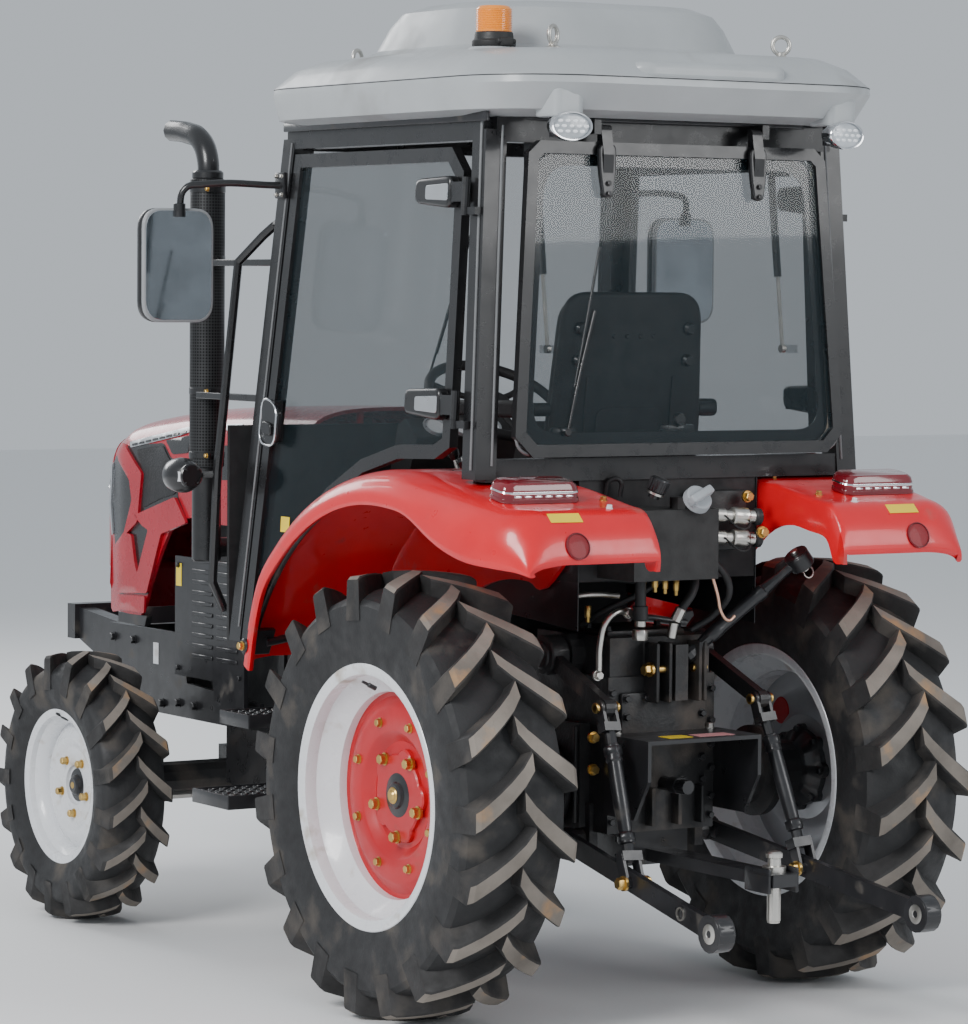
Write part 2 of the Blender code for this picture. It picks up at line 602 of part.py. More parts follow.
def build_cab():
    """Posts and rings in one frame, the floor with its seat deck, windscreen, roof and dash."""
    low, high = FLOOR_TOP + GAP, CAB_TOP
    shapes = []
    for side in (1, -1):
        shapes.append(post((side * side_x(low), front_post_y(low), low),
                           (side * side_x(high), front_post_y(high), high), POST, POST))
        base = SILL_TOP - 0.048
        shapes.append(post((side * side_x(base), rear_post_y(base), base),
                           (side * side_x(high), rear_post_y(high), high), POST, POST))
        x = sorted((side * (side_x(high) - POST / 2), side * (side_x(high) + POST / 2)))
        shapes.append(box(x, (front_post_y(high) - 0.010, rear_post_y(high) + 0.010),
                          (high - 0.026, high + 0.026)))
        bracket = sorted((side * (STRUT_X + 0.014), side * (STRUT_X + 0.026)))
        shapes.append(box(bracket, (STRUT_TOP[0] - 0.015, STRUT_TOP[0] + 0.045),
                          (STRUT_TOP[1] - 0.015, high - 0.010)))
    width = side_x(high)
    for y in (front_post_y(high), rear_post_y(high)):
        shapes.append(box((-width, width), (y - 0.032, y + 0.032), (high - 0.030, high + 0.030)))
    width = side_x(SILL_TOP)
    y = rear_post_y(SILL_TOP)
    shapes.append(box((-width, width), (y - 0.027, y + 0.027), (SILL_TOP - 0.055, SILL_TOP)))
    width = side_x(FLOOR_TOP)
    shapes.append(box((-width, width), (CAB_FRONT_Y - 0.026, CAB_FRONT_Y + 0.026),
                      (low + 0.004, low + 0.034)))
    shapes += hinge_lugs()
    piece("cab_frame", "black", joined(shapes))

    wall = FENDER_IN_X - GAP
    deck_front = REAR_AXLE_Y - 0.350
    back = CAB_REAR_Y - 0.010
    screen_low, screen_high = HOOD_TOP - 0.040, CAB_TOP - 0.030 - GAP
    half = side_x(FLOOR_TOP) + POST / 2
    shapes = [
        box((-half, half), (WALL_FRONT_Y, WALL_FRONT_Y + WALL_THICK), (FLOOR_TOP - 0.010, screen_low - GAP)),
        plan_prism([(-0.600, CAB_FRONT_Y - POST / 2 - 0.012), (0.600, CAB_FRONT_Y - POST / 2 - 0.012), (0.600, CAB_FRONT_Y + 0.130),
                    (wall, CAB_FRONT_Y + 0.155), (wall, deck_front + 0.010), (-wall, deck_front + 0.010),
                    (-wall, CAB_FRONT_Y + 0.155), (-0.600, CAB_FRONT_Y + 0.130)],
                   FLOOR_TOP - FLOOR_THICK, FLOOR_TOP),
        box((-wall, wall), (deck_front, deck_front + FLOOR_THICK), (FLOOR_TOP - FLOOR_THICK, DECK_TOP)),
        box((-wall, wall), (deck_front, back), (DECK_TOP - FLOOR_THICK, DECK_TOP)),
        box((-wall, wall), (back - FLOOR_THICK, back), (DECK_TOP - FLOOR_THICK, SILL_TOP - 0.055 - GAP)),
        box((-0.160, 0.160), (REAR_AXLE_Y - 0.330, REAR_AXLE_Y - 0.030), (DECK_TOP - 0.010, 1.180)),
    ]
    for side in (1, -1):
        inner, outer = sorted((side * (HOOD_EAR_X - 0.020), side * HOOD_EAR_X))
        shapes.append(across_tube(inner, outer, *HOOD_HINGE, 0.014, 10))
        shapes.append(box((inner + 0.002, outer - 0.002), (HOOD_HINGE[0] - 0.004, WALL_FRONT_Y + 0.006),
                          (HOOD_HINGE[1] - 0.030, HOOD_HINGE[1] - 0.004)))
    piece("cab_floor", "plastic", joined(shapes))

    rings = []
    for z in (screen_low, screen_high):
        y = front_post_y(z) - 0.010
        x = side_x(z) - POST / 2 - 0.001
        rings.append([(-x, y - GLASS, z), (x, y - GLASS, z), (x, y, z), (-x, y, z)])
    piece("windscreen", "glass", loft(rings))

    dash_y = CAB_FRONT_Y + POST / 2 + GAP
    dash = side_prism([(dash_y, FLOOR_TOP + 0.040), (dash_y + 0.110, FLOOR_TOP + 0.040), (dash_y + 0.130, 1.300),
                       (dash_y + 0.170, 1.400), (dash_y + 0.110, 1.450), (dash_y + 0.070, 1.430),
                       (dash_y, 1.200)], -0.160, 0.160)
    foot = box((-0.130, 0.130), (dash_y + 0.010, dash_y + 0.100), (FLOOR_TOP + GAP, FLOOR_TOP + 0.100))
    centre = Vector((0, dash_y + 0.300, 1.500))
    tilt = Vector((0, 0.500, 0.866))
    start = centre - tilt * 0.400
    column = tube([start, centre - tilt * (0.020 + RUNNING_GAP)], 0.024, 12)
    piece("dash", "plastic", joined([dash, foot, column]))

    across, up = basis(tilt)
    turns = [2 * math.pi * k / 20 for k in range(20)]
    rim_points = []
    rim_faces = []
    for i, turn in enumerate(turns):
        spoke = across * math.cos(turn) + up * math.sin(turn)
        for k in range(6):
            swing = 2 * math.pi * k / 6
            rim_points.append(centre + spoke * (0.180 + 0.014 * math.cos(swing))
                              + tilt * 0.014 * math.sin(swing))
            j = (i + 1) % 20
            rim_faces.append([6 * i + k, 6 * i + (k + 1) % 6, 6 * j + (k + 1) % 6, 6 * j + k])
    shapes = [mesh_from(rim_points, rim_faces), tube([centre - tilt * 0.020, centre + tilt * 0.012], 0.045, 12)]
    for turn in (90, 210, 330):
        spoke = across * math.cos(math.radians(turn)) + up * math.sin(math.radians(turn))
        shapes.append(tube([centre + spoke * 0.021, centre + spoke * 0.177], 0.008, 6))
    wheel = pivot_at("steering_wheel_hub", centre)
    piece("steering_wheel", "plastic", joined(shapes), wheel)

    seat_y = REAR_AXLE_Y - 0.180
    piece("seat_cushion", "plastic", box((-0.240, 0.240), (seat_y - 0.250, seat_y + 0.130),
                                         (1.180 + GAP, 1.330)))
    rest = side_prism([(seat_y + 0.130 + GAP, 1.200), (seat_y + 0.210, 1.200), (seat_y + 0.270, 1.780),
                       (seat_y + 0.190, 1.800)], -0.230, 0.230)
    piece("seat_back", "plastic", rest)


def build_roof():
    """Roof shell with its air duct dome, the beacon and the rear work lamps."""
    front, back = REAR_AXLE_Y - 0.850, REAR_AXLE_Y + 0.440
    levels = [
        (0.555, front + 0.050, back - 0.140, 0.0), (0.600, front, back - 0.060, 0.022),
        (0.605, front - 0.005, back, 0.085), (0.560, front + 0.040, back - 0.035, 0.140),
        (0.490, front + 0.110, back - 0.100, 0.170), (0.425, front + 0.220, back - 0.340, 0.182),
        (0.385, front + 0.270, back - 0.380, 0.265), (0.320, front + 0.350, back - 0.460, ROOF_RISE),
    ]
    rings = []
    for half, start, end, rise in levels:
        outline = rounded_plan(half, start, end, 0.170, 0.240)
        rings.append([(x, y, ROOF_BOTTOM + rise) for x, y in outline])
    base = (0.425, REAR_AXLE_Y + 0.085, ROOF_BOTTOM + 0.160)
    pad = tube([base, (base[0], base[1], base[2] + 0.030)], 0.060, 16)
    lamp_y, lamp_z, lamp_r = REAR_AXLE_Y + 0.385, ROOF_BOTTOM - 0.030, 0.044
    bosses = []
    for side in (1, -1):
        x = side * LAMP_X
        bosses.append(box((x - 0.014, x + 0.014), (lamp_y - 0.035, lamp_y - 0.007),
                          (lamp_z + lamp_r + GAP, ROOF_BOTTOM + 0.060)))
    piece("roof", "roof_grey", joined([loft(rings), pad] + bosses))

    foot = base[2] + 0.030 + GAP
    beacon = joined([tube([(base[0], base[1], foot), (base[0], base[1], foot + 0.035)], 0.055, 16),
                     tube([(base[0], base[1], foot + 0.030), (base[0], base[1], foot + 0.105)], 0.047, 16)])
    piece("beacon", "amber", beacon)

    for name, side in SIDES.items():
        x = side * LAMP_X
        lamp = tube([(x, lamp_y - 0.030, lamp_z), (x, lamp_y + 0.030, lamp_z)], lamp_r, 16)
        piece(f"work_lamp_{name}", "steel", lamp)


def door_outline():
    """Door edge as (y, z) points, anticlockwise seen from the left: it follows the fender below."""
    top = CAB_TOP - 0.040
    rear = DOOR_HINGE_Y - 0.045
    front_low = front_post_y(FLOOR_TOP) + POST / 2 + 0.006
    front_high = front_post_y(top) + POST / 2 + 0.006
    arc = [polar(FENDER_TOP_R + 0.030, turn) for turn in (146, 134, 122, 110, 98, 86)]
    outline = [(front_low, FLOOR_TOP + 0.010), (arc[0][0], FLOOR_TOP + 0.010)]
    outline += arc
    outline += [(rear, 1.410), (rear, top - 0.060), (rear - 0.060, top), (front_high, top)]
    return outline


def on_side(outline, side, out_low, out_high):
    """Outline of (y, z) points carried outward between two distances from the leaning side plane."""
    rings = []
    for out in (out_low, out_high):
        rings.append([(side * (side_x(z) + out), y, z) for y, z in outline])
    return loft(rings)


def build_doors():
    """Framed glass doors with their hinge arms."""
    edge = door_outline()
    hole = inset(edge, 0.035)
    for name, side in SIDES.items():
        hinge = pivot_at(f"door_hinge_{name}", door_hinge_point(side, 1.500))
        shapes = [on_side(edge, side, 0.004, 0.028)]
        cuts = [on_side(hole, side, -0.020, 0.060)]
        frame = joined(shapes, cuts)
        arms = []
        for z in DOOR_HINGE_HEIGHTS:
            arms.append(tube([door_hinge_point(side, z - 0.035), door_hinge_point(side, z + 0.035)], 0.010, 10))
            outer = side * (side_x(z) + DOOR_HINGE_OUT + 0.006)
            leaf = sorted((side * (side_x(z) + 0.022), outer))
            arms.append(box(leaf, (DOOR_HINGE_Y - 0.200, DOOR_HINGE_Y - 0.048), (z - 0.026, z + 0.026)))
            tongue = sorted((side * (side_x(z) + 0.038), outer + side * 0.001))
            arms.append(box(tongue, (DOOR_HINGE_Y - 0.060, DOOR_HINGE_Y - 0.003), (z - 0.024, z + 0.024)))
        handle_y = front_post_y(1.448) + POST / 2 + 0.030
        grip = sorted((side * (side_x(1.448) + 0.0235), side * (side_x(1.448) + 0.050)))
        arms.append(box(grip, (handle_y - 0.015, handle_y + 0.060), (1.395, 1.500)))
        piece(f"door_frame_{name}", "black", joined([frame] + arms), hinge)
        pane = inset(edge, 0.035 + GAP)
        piece(f"door_glass_{name}", "glass", on_side(pane, side, 0.013, 0.013 + GLASS), hinge)


def build_rear_window():
    """Rear window hung from the top, with a gas strut at each side."""
    low, high = SILL_TOP + 0.006, CAB_TOP - 0.026
    bottom, top = 0.492, 0.440
    outline = [(-bottom + 0.050, low), (bottom - 0.050, low), (bottom, low + 0.050), (top + 0.004, high - 0.030),
               (top - 0.030, high), (-top + 0.030, high), (-top - 0.004, high - 0.030), (-bottom, low + 0.050)]
    front = HATCH_HINGE[0] - 0.019

    def leaning(shape_outline, y0, y1):
        """Outline carried along Y, leaning with the rear posts."""
        lean = 0.030 / (CAB_TOP - SILL_TOP)
        return loft([[(x, y - lean * (z - high), z) for x, z in shape_outline] for y in (y0, y1)])

    hinge = pivot_at("hatch_hinge", (0, *HATCH_HINGE))
    frame = joined([leaning(outline, front, front + 0.020)],
                   [leaning(inset(outline, 0.030), front - 0.05, front + 0.06)])
    arms = []
    for side in (1, -1):
        x = sorted((side * 0.211, side * 0.241))
        arms.append(side_prism([(front + 0.012, high - 0.004), (front + 0.012, high - 0.027),
                                (front + 0.024, high - 0.034), (front + 0.026, high - 0.130),
                                (front + 0.036, high - 0.130), (front + 0.042, high - 0.030),
                                (HATCH_HINGE[0] + 0.011, HATCH_HINGE[1]),
                                (HATCH_HINGE[0] - 0.008, HATCH_HINGE[1])], *x))
        arms.append(across_tube(x[0], x[1], *HATCH_HINGE, 0.012, 10))
    piece("rear_window_frame", "black", joined([frame] + arms), hinge)
    glass = leaning(inset(outline, 0.030 + GAP), front + 0.008, front + 0.008 + GLASS)
    studs = []
    lean = 0.030 / (CAB_TOP - SILL_TOP)
    for side in (1, -1):
        x = sorted((side * (STRUT_X + 0.006 + RUNNING_GAP), side * (STRUT_X + 0.018)))
        glass_y = front + 0.010 - lean * (STRUT_EYE[1] - high)
        studs.append(box(x, (STRUT_EYE[0] - 0.008, glass_y), (STRUT_EYE[1] - 0.010, STRUT_EYE[1] + 0.010)))
    piece("rear_window_glass", "glass", joined([glass] + studs), hinge)

    start = Vector((0, *STRUT_TOP))
    end = Vector((0, *STRUT_EYE))
    ahead = (end - start).normalized()
    reach = (end - start).length
    for name, side in SIDES.items():
        shift = Vector((side * STRUT_X, 0, 0))
        swing = pivot_at(f"strut_top_{name}", shift + start)
        head = across_tube(side * (STRUT_X - 0.010), side * (STRUT_X + 0.014 - RUNNING_GAP), *STRUT_TOP, 0.012, 12)
        barrel = tube([shift + start + ahead * 0.006, shift + start + ahead * 0.596 * reach], 0.010, 10)
        bore = tube([shift + start + ahead * 0.210 * reach, shift + start + ahead * 0.880 * reach], 0.0062, 10)
        piece(f"strut_tube_{name}", "black", joined([head, barrel], [bore]), swing)
        eye = across_tube(side * (STRUT_X - 0.006), side * (STRUT_X + 0.006), *STRUT_EYE, 0.010, 12)
        rod = tube([shift + start + ahead * 0.243 * reach, shift + end - ahead * 0.004], 0.0050, 8)
        piece(f"strut_rod_{name}", "steel", joined([eye, rod]), swing)


# ---------------------------------------------------------------- fenders, lamps, mirrors, steps

def build_fenders():
    """Fender shells over the rear wheels, with the tail lamps on their decks."""
    stations = []
    for turn in (157, 148, 139, 130, 121, 112, 103, 94, 85, 77):
        pinch = 0.055 * max(turn - 139, 0) / 18
        stations.append((polar(FENDER_TOP_R - pinch, turn), polar(FENDER_LIP_R - pinch, turn),
                         polar(FENDER_WALL_R, turn)))
    ay, deck = REAR_AXLE_Y, deck_z
    stations.append(((ay + 0.300, deck(ay + 0.300)), (ay + 0.280, 1.200), (ay + 0.262, 1.080)))
    stations.append(((ay + 0.480, deck(ay + 0.480)), (ay + 0.430, 1.155), (ay + 0.420, 1.120)))
    stations.append(((ay + 0.565, 1.232), (ay + 0.540, 1.142), (ay + 0.540, 1.135)))
    stations.append(((ay + 0.605, 1.160), (ay + 0.600, 1.130), (ay + 0.600, 1.130)))
    for name, side in SIDES.items():
        rings = []
        for top, lip, wall in stations:
            top, lip, wall = Vector(top), Vector(lip), Vector(wall)
            inward = (Vector((REAR_AXLE_Y, REAR_AXLE_Z)) - top).normalized() * FENDER_THICK
            tuck = 0.045 if top.x > REAR_AXLE_Y + 0.45 else 0.0
            out_x = FENDER_OUT_X - tuck
            skin = [(FENDER_IN_X, wall), (FENDER_IN_X, top), (out_x - 0.090, top),
                    (out_x - 0.035, top.lerp(lip, 0.22)), (out_x - 0.004, top.lerp(lip, 0.62)), (out_x, lip)]
            under = [(out_x - FENDER_THICK, lip), (out_x - FENDER_THICK - 0.004, top.lerp(lip, 0.60) + inward),
                     (out_x - 0.042, top.lerp(lip, 0.20) + inward), (out_x - 0.092, top + inward),
                     (FENDER_IN_X + FENDER_THICK, top + inward), (FENDER_IN_X + FENDER_THICK, wall)]
            rings.append([(side * x, p.x, p.y) for x, p in skin + under])
        piece(f"fender_{name}", "red", loft(rings))
        lamp_front, lamp_back = REAR_AXLE_Y + 0.372, REAR_AXLE_Y + 0.452
        corners = ((-0.115, lamp_front), (0.115, lamp_front), (0.115, lamp_back), (-0.115, lamp_back))
        foot = [(side * 0.506 + a, b, deck_z(b) + GAP) for a, b in corners]
        crown = [(side * 0.506 + 0.9 * a, b - 0.004, 1.352) for a, b in corners]
        piece(f"tail_lamp_{name}", "lamp_red", loft([foot, crown]))


def build_mirrors_and_rails():
    """Mirrors on arms from the front posts, and handrails that carry the position lamps."""
    for name, side in SIDES.items():
        z = CAB_TOP - 0.120
        start = (side * (side_x(z) + POST / 2 + GAP + 0.006), front_post_y(z), z)
        arm = [start, (side * 0.760, front_post_y(z) - 0.060, z), (side * 0.800, front_post_y(z) - 0.080, z - 0.030),
               (side * 0.800, front_post_y(z) - 0.085, z - 0.090)]
        lean = SIDE_LEAN * 0.030
        seat = side_x(z) + POST / 2 + GAP
        foot = loft([[(side * (seat - lean * s), front_post_y(z) - 0.022, z + 0.030 * s),
                      (side * (seat + 0.012), front_post_y(z) - 0.022, z + 0.030 * s),
                      (side * (seat + 0.012), front_post_y(z) + 0.022, z + 0.030 * s),
                      (side * (seat - lean * s), front_post_y(z) + 0.022, z + 0.030 * s)] for s in (-1, 1)])
        y = REAR_AXLE_Y - 0.860
        head = box(sorted((side * 0.695, side * 0.905)), (y - 0.030, y + 0.020),
                   (CAB_TOP - 0.480, CAB_TOP - 0.180))
        piece(f"mirror_{name}", "black", joined([tube(arm, 0.010, 8), foot, head]))

        top_z, low_z = CAB_TOP - 0.220, 0.930
        rail_x, rail_y = SIDE_BASE_X + POST / 2 + 0.020, CAB_FRONT_Y - POST / 2 - 0.030
        route = [(side * (side_x(top_z) + 0.010), front_post_y(top_z) - POST / 2 - 0.0019, top_z),
                 (side * (side_x(top_z) + 0.010), front_post_y(top_z) - POST / 2 - 0.030, top_z - 0.001),
                 (side * 0.545, front_post_y(top_z) - 0.085, top_z - 0.030),
                 (side * (rail_x - 0.030), rail_y + 0.055, top_z - 0.100),
                 (side * rail_x, rail_y, 1.310), (side * rail_x, rail_y - 0.025, 1.010),
                 (side * 0.585, WALL_FRONT_Y - 0.035, low_z), (side * 0.585, WALL_FRONT_Y - GAP, low_z)]
        stalk = [(side * rail_x, rail_y - 0.002, 1.300), (side * 0.665, REAR_AXLE_Y - 1.000, 1.295)]
        lamp_rings = []
        for along, radius in ((0.0, 0.034), (0.030, 0.045), (0.070, 0.042), (0.100, 0.028), (0.115, 0.010)):
            turns = [2 * math.pi * k / 12 for k in range(12)]
            lamp_rings.append([(side * 0.690 + radius * math.cos(t), REAR_AXLE_Y - 0.985 - along,
                                1.295 + radius * math.sin(t)) for t in turns])
        rail = joined([tube(route, 0.0125, 8), tube(stalk, 0.009, 8), loft(lamp_rings)])
        piece(f"handrail_{name}", "black", rail)


def build_steps():
    """Two treads on a hanger below each door."""
    for name, side in SIDES.items():
        low_front, low_back = REAR_AXLE_Y - 1.000, REAR_AXLE_Y - 0.800
        shapes = [
            box(sorted((side * 0.430, side * 0.460)), (low_back - 0.060, low_back - 0.030),
                (0.430, FLOOR_TOP - FLOOR_THICK - GAP)),
            box(sorted((side * 0.430, side * 0.460)), (low_front + 0.090, low_front + 0.120),
                (0.430, FLOOR_TOP - FLOOR_THICK - GAP)),
            box(sorted((side * 0.435, side * 0.670)), (low_front, low_back), (0.425, 0.455)),
            box(sorted((side * 0.435, side * 0.610)), (low_front + 0.040, low_back), (0.635, 0.665)),
        ]
        piece(f"step_{name}", "black", joined(shapes))


# ---------------------------------------------------------------- rear hitch

def build_hitch():
    """Lift arms, lift rods, lower links, top link, drawbar, power take-off and filler box."""
    shaft = pivot_at("lift_shaft", (0, *LIFT_SHAFT))
    inner = HOUSING_HALF_WIDTH + 0.030 + RUNNING_GAP
    for name, side in SIDES.items():
        arm = joined([across_tube(side * inner, side * (inner + 0.045), *LIFT_SHAFT, 0.045, 16),
                      bar((side * LIFT_ARM_X * 0.97, LIFT_SHAFT[0], LIFT_SHAFT[1]),
                          (side * LIFT_ARM_X, LIFT_ARM_TIP[0], LIFT_ARM_TIP[1]), 0.022, 0.040),
                      across_tube(side * (LIFT_ARM_X - 0.013), side * (LIFT_ARM_X + 0.013),
                                  *LIFT_ARM_TIP, 0.0225, 12)])
        piece(f"lift_arm_{name}", "black", arm, shaft)

        tip = Vector((side * LIFT_ARM_X, *LIFT_ARM_TIP))
        slope = (LINK_END_X - LINK_PIVOT_X) / (LINK_END[0] - LINK_PIVOT[0])
        low_x = LINK_PIVOT_X + slope * (ROD_LOW_END[0] - LINK_PIVOT[0])
        low = Vector((side * low_x, *ROD_LOW_END))
        ahead = (low - tip).normalized()
        up_gap = 0.013 + RUNNING_GAP
        shapes = [tube([tip + ahead * 0.055, low - ahead * 0.065], 0.014, 10),
                  bar(tip + ahead * 0.040, tip + ahead * 0.062, 0.046, 0.034),
                  bar(low - ahead * 0.076, low - ahead * 0.052, 0.056, 0.034)]
        for flip in (1, -1):
            cheek_x = side * LIFT_ARM_X + flip * (up_gap + 0.004)
            shapes.append(bar((cheek_x, tip.y, tip.z),
                              (cheek_x, tip.y + ahead.y * 0.050, tip.z + ahead.z * 0.050), 0.008, 0.030))
            cheek_x = side * low_x + flip * 0.0225
            shapes.append(bar((cheek_x, low.y - ahead.y * 0.070, low.z - ahead.z * 0.070),
                              (cheek_x, low.y + ahead.y * 0.012, low.z + ahead.z * 0.012), 0.008, 0.030))
        swing = pivot_at(f"lift_rod_top_{name}", tip)
        piece(f"lift_rod_{name}", "black", joined(shapes), swing)

        front = Vector((side * LINK_PIVOT_X, *LINK_PIVOT))
        back = Vector((side * LINK_END_X, *LINK_END))
        boss_half = 0.0185 - RUNNING_GAP
        shapes = [across_tube(front.x - 0.015, front.x + 0.015, *LINK_PIVOT, 0.030, 14),
                  bar(front, back, 0.018, 0.050),
                  across_tube(back.x - 0.022, back.x + 0.022, *LINK_END, 0.045, 16),
                  across_tube(low.x - boss_half, low.x + boss_half, *ROD_LOW_END, 0.014, 12)]
        pin = pivot_at(f"lower_link_pin_{name}", front)
        piece(f"lower_link_{name}", "black", joined(shapes), pin)

    ball = Vector(TOP_LINK_PIVOT)
    stowed = Vector((-0.750, 0.215, 0.625)).normalized()
    rings = []
    across, up = basis(stowed)
    for along, radius in ((-0.022, 0.006), (-0.018, 0.013), (-0.008, 0.0205), (0.004, 0.0218), (0.014, 0.017),
                          (0.026, 0.012), (0.060, 0.0164), (0.250, 0.0164), (0.300, 0.011), (0.350, 0.011)):
        turns = [2 * math.pi * k / 8 for k in range(8)]
        rings.append([ball + stowed * along + radius * (across * math.cos(t) + up * math.sin(t)) for t in turns])
    far = ball + stowed * 0.372
    side_way = stowed.cross(Vector((0, 1, 0))).normalized()
    eye = tube([far - side_way * 0.020, far + side_way * 0.020], 0.032, 14)
    pin = pivot_at("top_link_ball", ball)
    piece("top_link", "black", joined([loft(rings), eye]), pin)

    bottom = HOUSING_BOTTOM - GAP
    bar_top = HOUSING_BOTTOM - 0.045
    pin_y = REAR_AXLE_Y + 0.700
    shapes = [box((-0.035, 0.035), (REAR_AXLE_Y - 0.150, pin_y + 0.045), (bar_top - 0.030, bar_top)),
              box((-0.090, 0.090), (REAR_AXLE_Y + 0.020, HOUSING_REAR_Y - 0.010), (bar_top - 0.040, bottom)),
              tube([(0, pin_y, bar_top - 0.120), (0, pin_y, bar_top + 0.050)], 0.015, 10),
              tube([(0, pin_y, bar_top), (0, pin_y, bar_top + 0.015)], 0.028, 12)]
    piece("drawbar", "black", joined(shapes))

    front, back = HOUSING_REAR_Y + GAP, REAR_AXLE_Y + 0.410
    guard = joined([box((-0.170, 0.170), (front, back), (0.690, 0.700)),
                    side_prism([(front, 0.500), (back - 0.060, 0.500), (back, 0.600), (back, 0.695),
                                (front, 0.695)], -0.170, -0.160),
                    side_prism([(front, 0.500), (back - 0.060, 0.500), (back, 0.600), (back, 0.695),
                                (front, 0.695)], 0.160, 0.170)])
    piece("pto_guard", "black", guard)
    shaft = pivot_at("pto_axis", (0, HOUSING_REAR_Y, 0.570))
    stub = tube([(0, HOUSING_REAR_Y + RUNNING_GAP, 0.570), (0, HOUSING_REAR_Y + 0.120, 0.570)], 0.0175, 12)
    piece("pto_shaft", "steel", stub, shaft)

    box_front = CAB_REAR_Y - 0.010 + GAP
    filler = joined([box((-0.040, 0.210), (box_front, REAR_AXLE_Y + 0.400), (1.090, 1.262)),
                     tube([(0.030, REAR_AXLE_Y + 0.350, 1.255), (0.030, REAR_AXLE_Y + 0.350, 1.290)], 0.035, 12)])
    piece("filler_box", "plastic", filler)


def main():
    """Clears the scene and builds every piece."""
    for item in list(bpy.data.objects):
        bpy.data.objects.remove(item, do_unlink=True)
    build_wheels()
    build_front_axle()
    build_chassis()
    build_hood()
    build_exhaust()
    build_cab()
    build_roof()
    build_doors()
    build_rear_window()
    build_fenders()
    build_mirrors_and_rails()
    build_steps()
    build_hitch()


main()
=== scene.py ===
import math

import bpy
from mathutils import Matrix, Vector, geometry


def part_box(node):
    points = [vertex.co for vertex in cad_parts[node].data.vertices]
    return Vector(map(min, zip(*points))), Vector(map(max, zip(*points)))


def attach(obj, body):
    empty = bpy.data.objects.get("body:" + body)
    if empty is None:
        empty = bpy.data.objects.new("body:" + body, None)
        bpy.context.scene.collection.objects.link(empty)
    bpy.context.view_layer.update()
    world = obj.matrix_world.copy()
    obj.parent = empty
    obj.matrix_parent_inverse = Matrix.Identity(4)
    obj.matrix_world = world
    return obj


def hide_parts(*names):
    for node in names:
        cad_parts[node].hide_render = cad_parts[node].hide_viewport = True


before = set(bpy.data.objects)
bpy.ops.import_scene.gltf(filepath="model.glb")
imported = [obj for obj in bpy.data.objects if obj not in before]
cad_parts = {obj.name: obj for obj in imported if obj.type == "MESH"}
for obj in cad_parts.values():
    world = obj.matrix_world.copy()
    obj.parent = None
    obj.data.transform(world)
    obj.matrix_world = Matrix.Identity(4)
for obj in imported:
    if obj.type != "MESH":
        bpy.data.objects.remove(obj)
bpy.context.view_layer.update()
SIDES = {"left": 1, "right": -1}

# ---------------------------------------------------------------- camera, light and floor
# Seen from behind and to the left, a little above the wheels, with a long lens. The daylight is a
# pale sky with a large soft lamp on the left and weaker ones behind and in front, over a pale floor.

AZIMUTH, ELEVATION, ROLL = (math.radians(a) for a in (147.551, 3.317, 0.4735))
lens = bpy.data.cameras.new("view_camera")
lens.sensor_fit = "VERTICAL"
lens.sensor_height = 36
lens.lens = 140.57
lens.shift_x = -0.0163
lens.shift_y = 0.0064
camera = bpy.data.objects.new("view_camera", lens)
bpy.context.collection.objects.link(camera)
back = Vector((math.sin(AZIMUTH) * math.cos(ELEVATION), -math.cos(AZIMUTH) * math.cos(ELEVATION),
    math.sin(ELEVATION)))
camera.location = (5.6653, 9.1934, 1.8012)
camera.rotation_mode = "QUATERNION"
camera.rotation_quaternion = back.to_track_quat("Z", "Y")
camera.matrix_world = (Matrix.Translation(camera.location)
    @ back.to_track_quat("Z", "Y").to_matrix().to_4x4() @ Matrix.Rotation(ROLL, 4, "Z"))
bpy.context.scene.camera = camera

sky = bpy.data.worlds.new("pale_sky")
sky.use_nodes = True
sky.node_tree.nodes["Background"].inputs["Color"].default_value = (0.86, 0.93, 1.0, 1)
sky.node_tree.nodes["Background"].inputs["Strength"].default_value = 0.62
bpy.context.scene.world = sky
for name, place, size, power in (("key", (7.5, 3.5, 6.0), 3.0, 620), ("fill", (-4.5, 8.5, 4.5), 4.0, 260),
        ("front", (1.0, -8.0, 5.0), 4.0, 300)):
    bpy.ops.object.light_add(type="AREA", location=place)
    lamp = bpy.context.object
    lamp.name = f"studio_{name}"
    lamp.data.size = size
    lamp.data.energy = power
    lamp.rotation_euler = (Vector(place) - Vector((0, 0, 1.0))).to_track_quat("Z", "Y").to_euler()

bpy.ops.object.select_all(action="DESELECT")
bpy.ops.mesh.primitive_plane_add(size=60, location=(0, 0, 0))
floor = bpy.context.object
floor.name = "floor"
floor_paint = bpy.data.materials.new("floor")
floor_paint.use_nodes = True
floor_paint.node_tree.nodes["Principled BSDF"].inputs["Base Color"].default_value = (0.86, 0.86, 0.86, 1)
floor_paint.node_tree.nodes["Principled BSDF"].inputs["Roughness"].default_value = 0.75
floor.data.materials.append(floor_paint)


# ---------------------------------------------------------------- tyres
# Black rubber carcasses with moulded bar lugs that meet at a point in the middle of the tread. Each
# tyre is turned from its section, its lugs are one bar copied round both sides, and dried mud
# clings to the bars' tops.

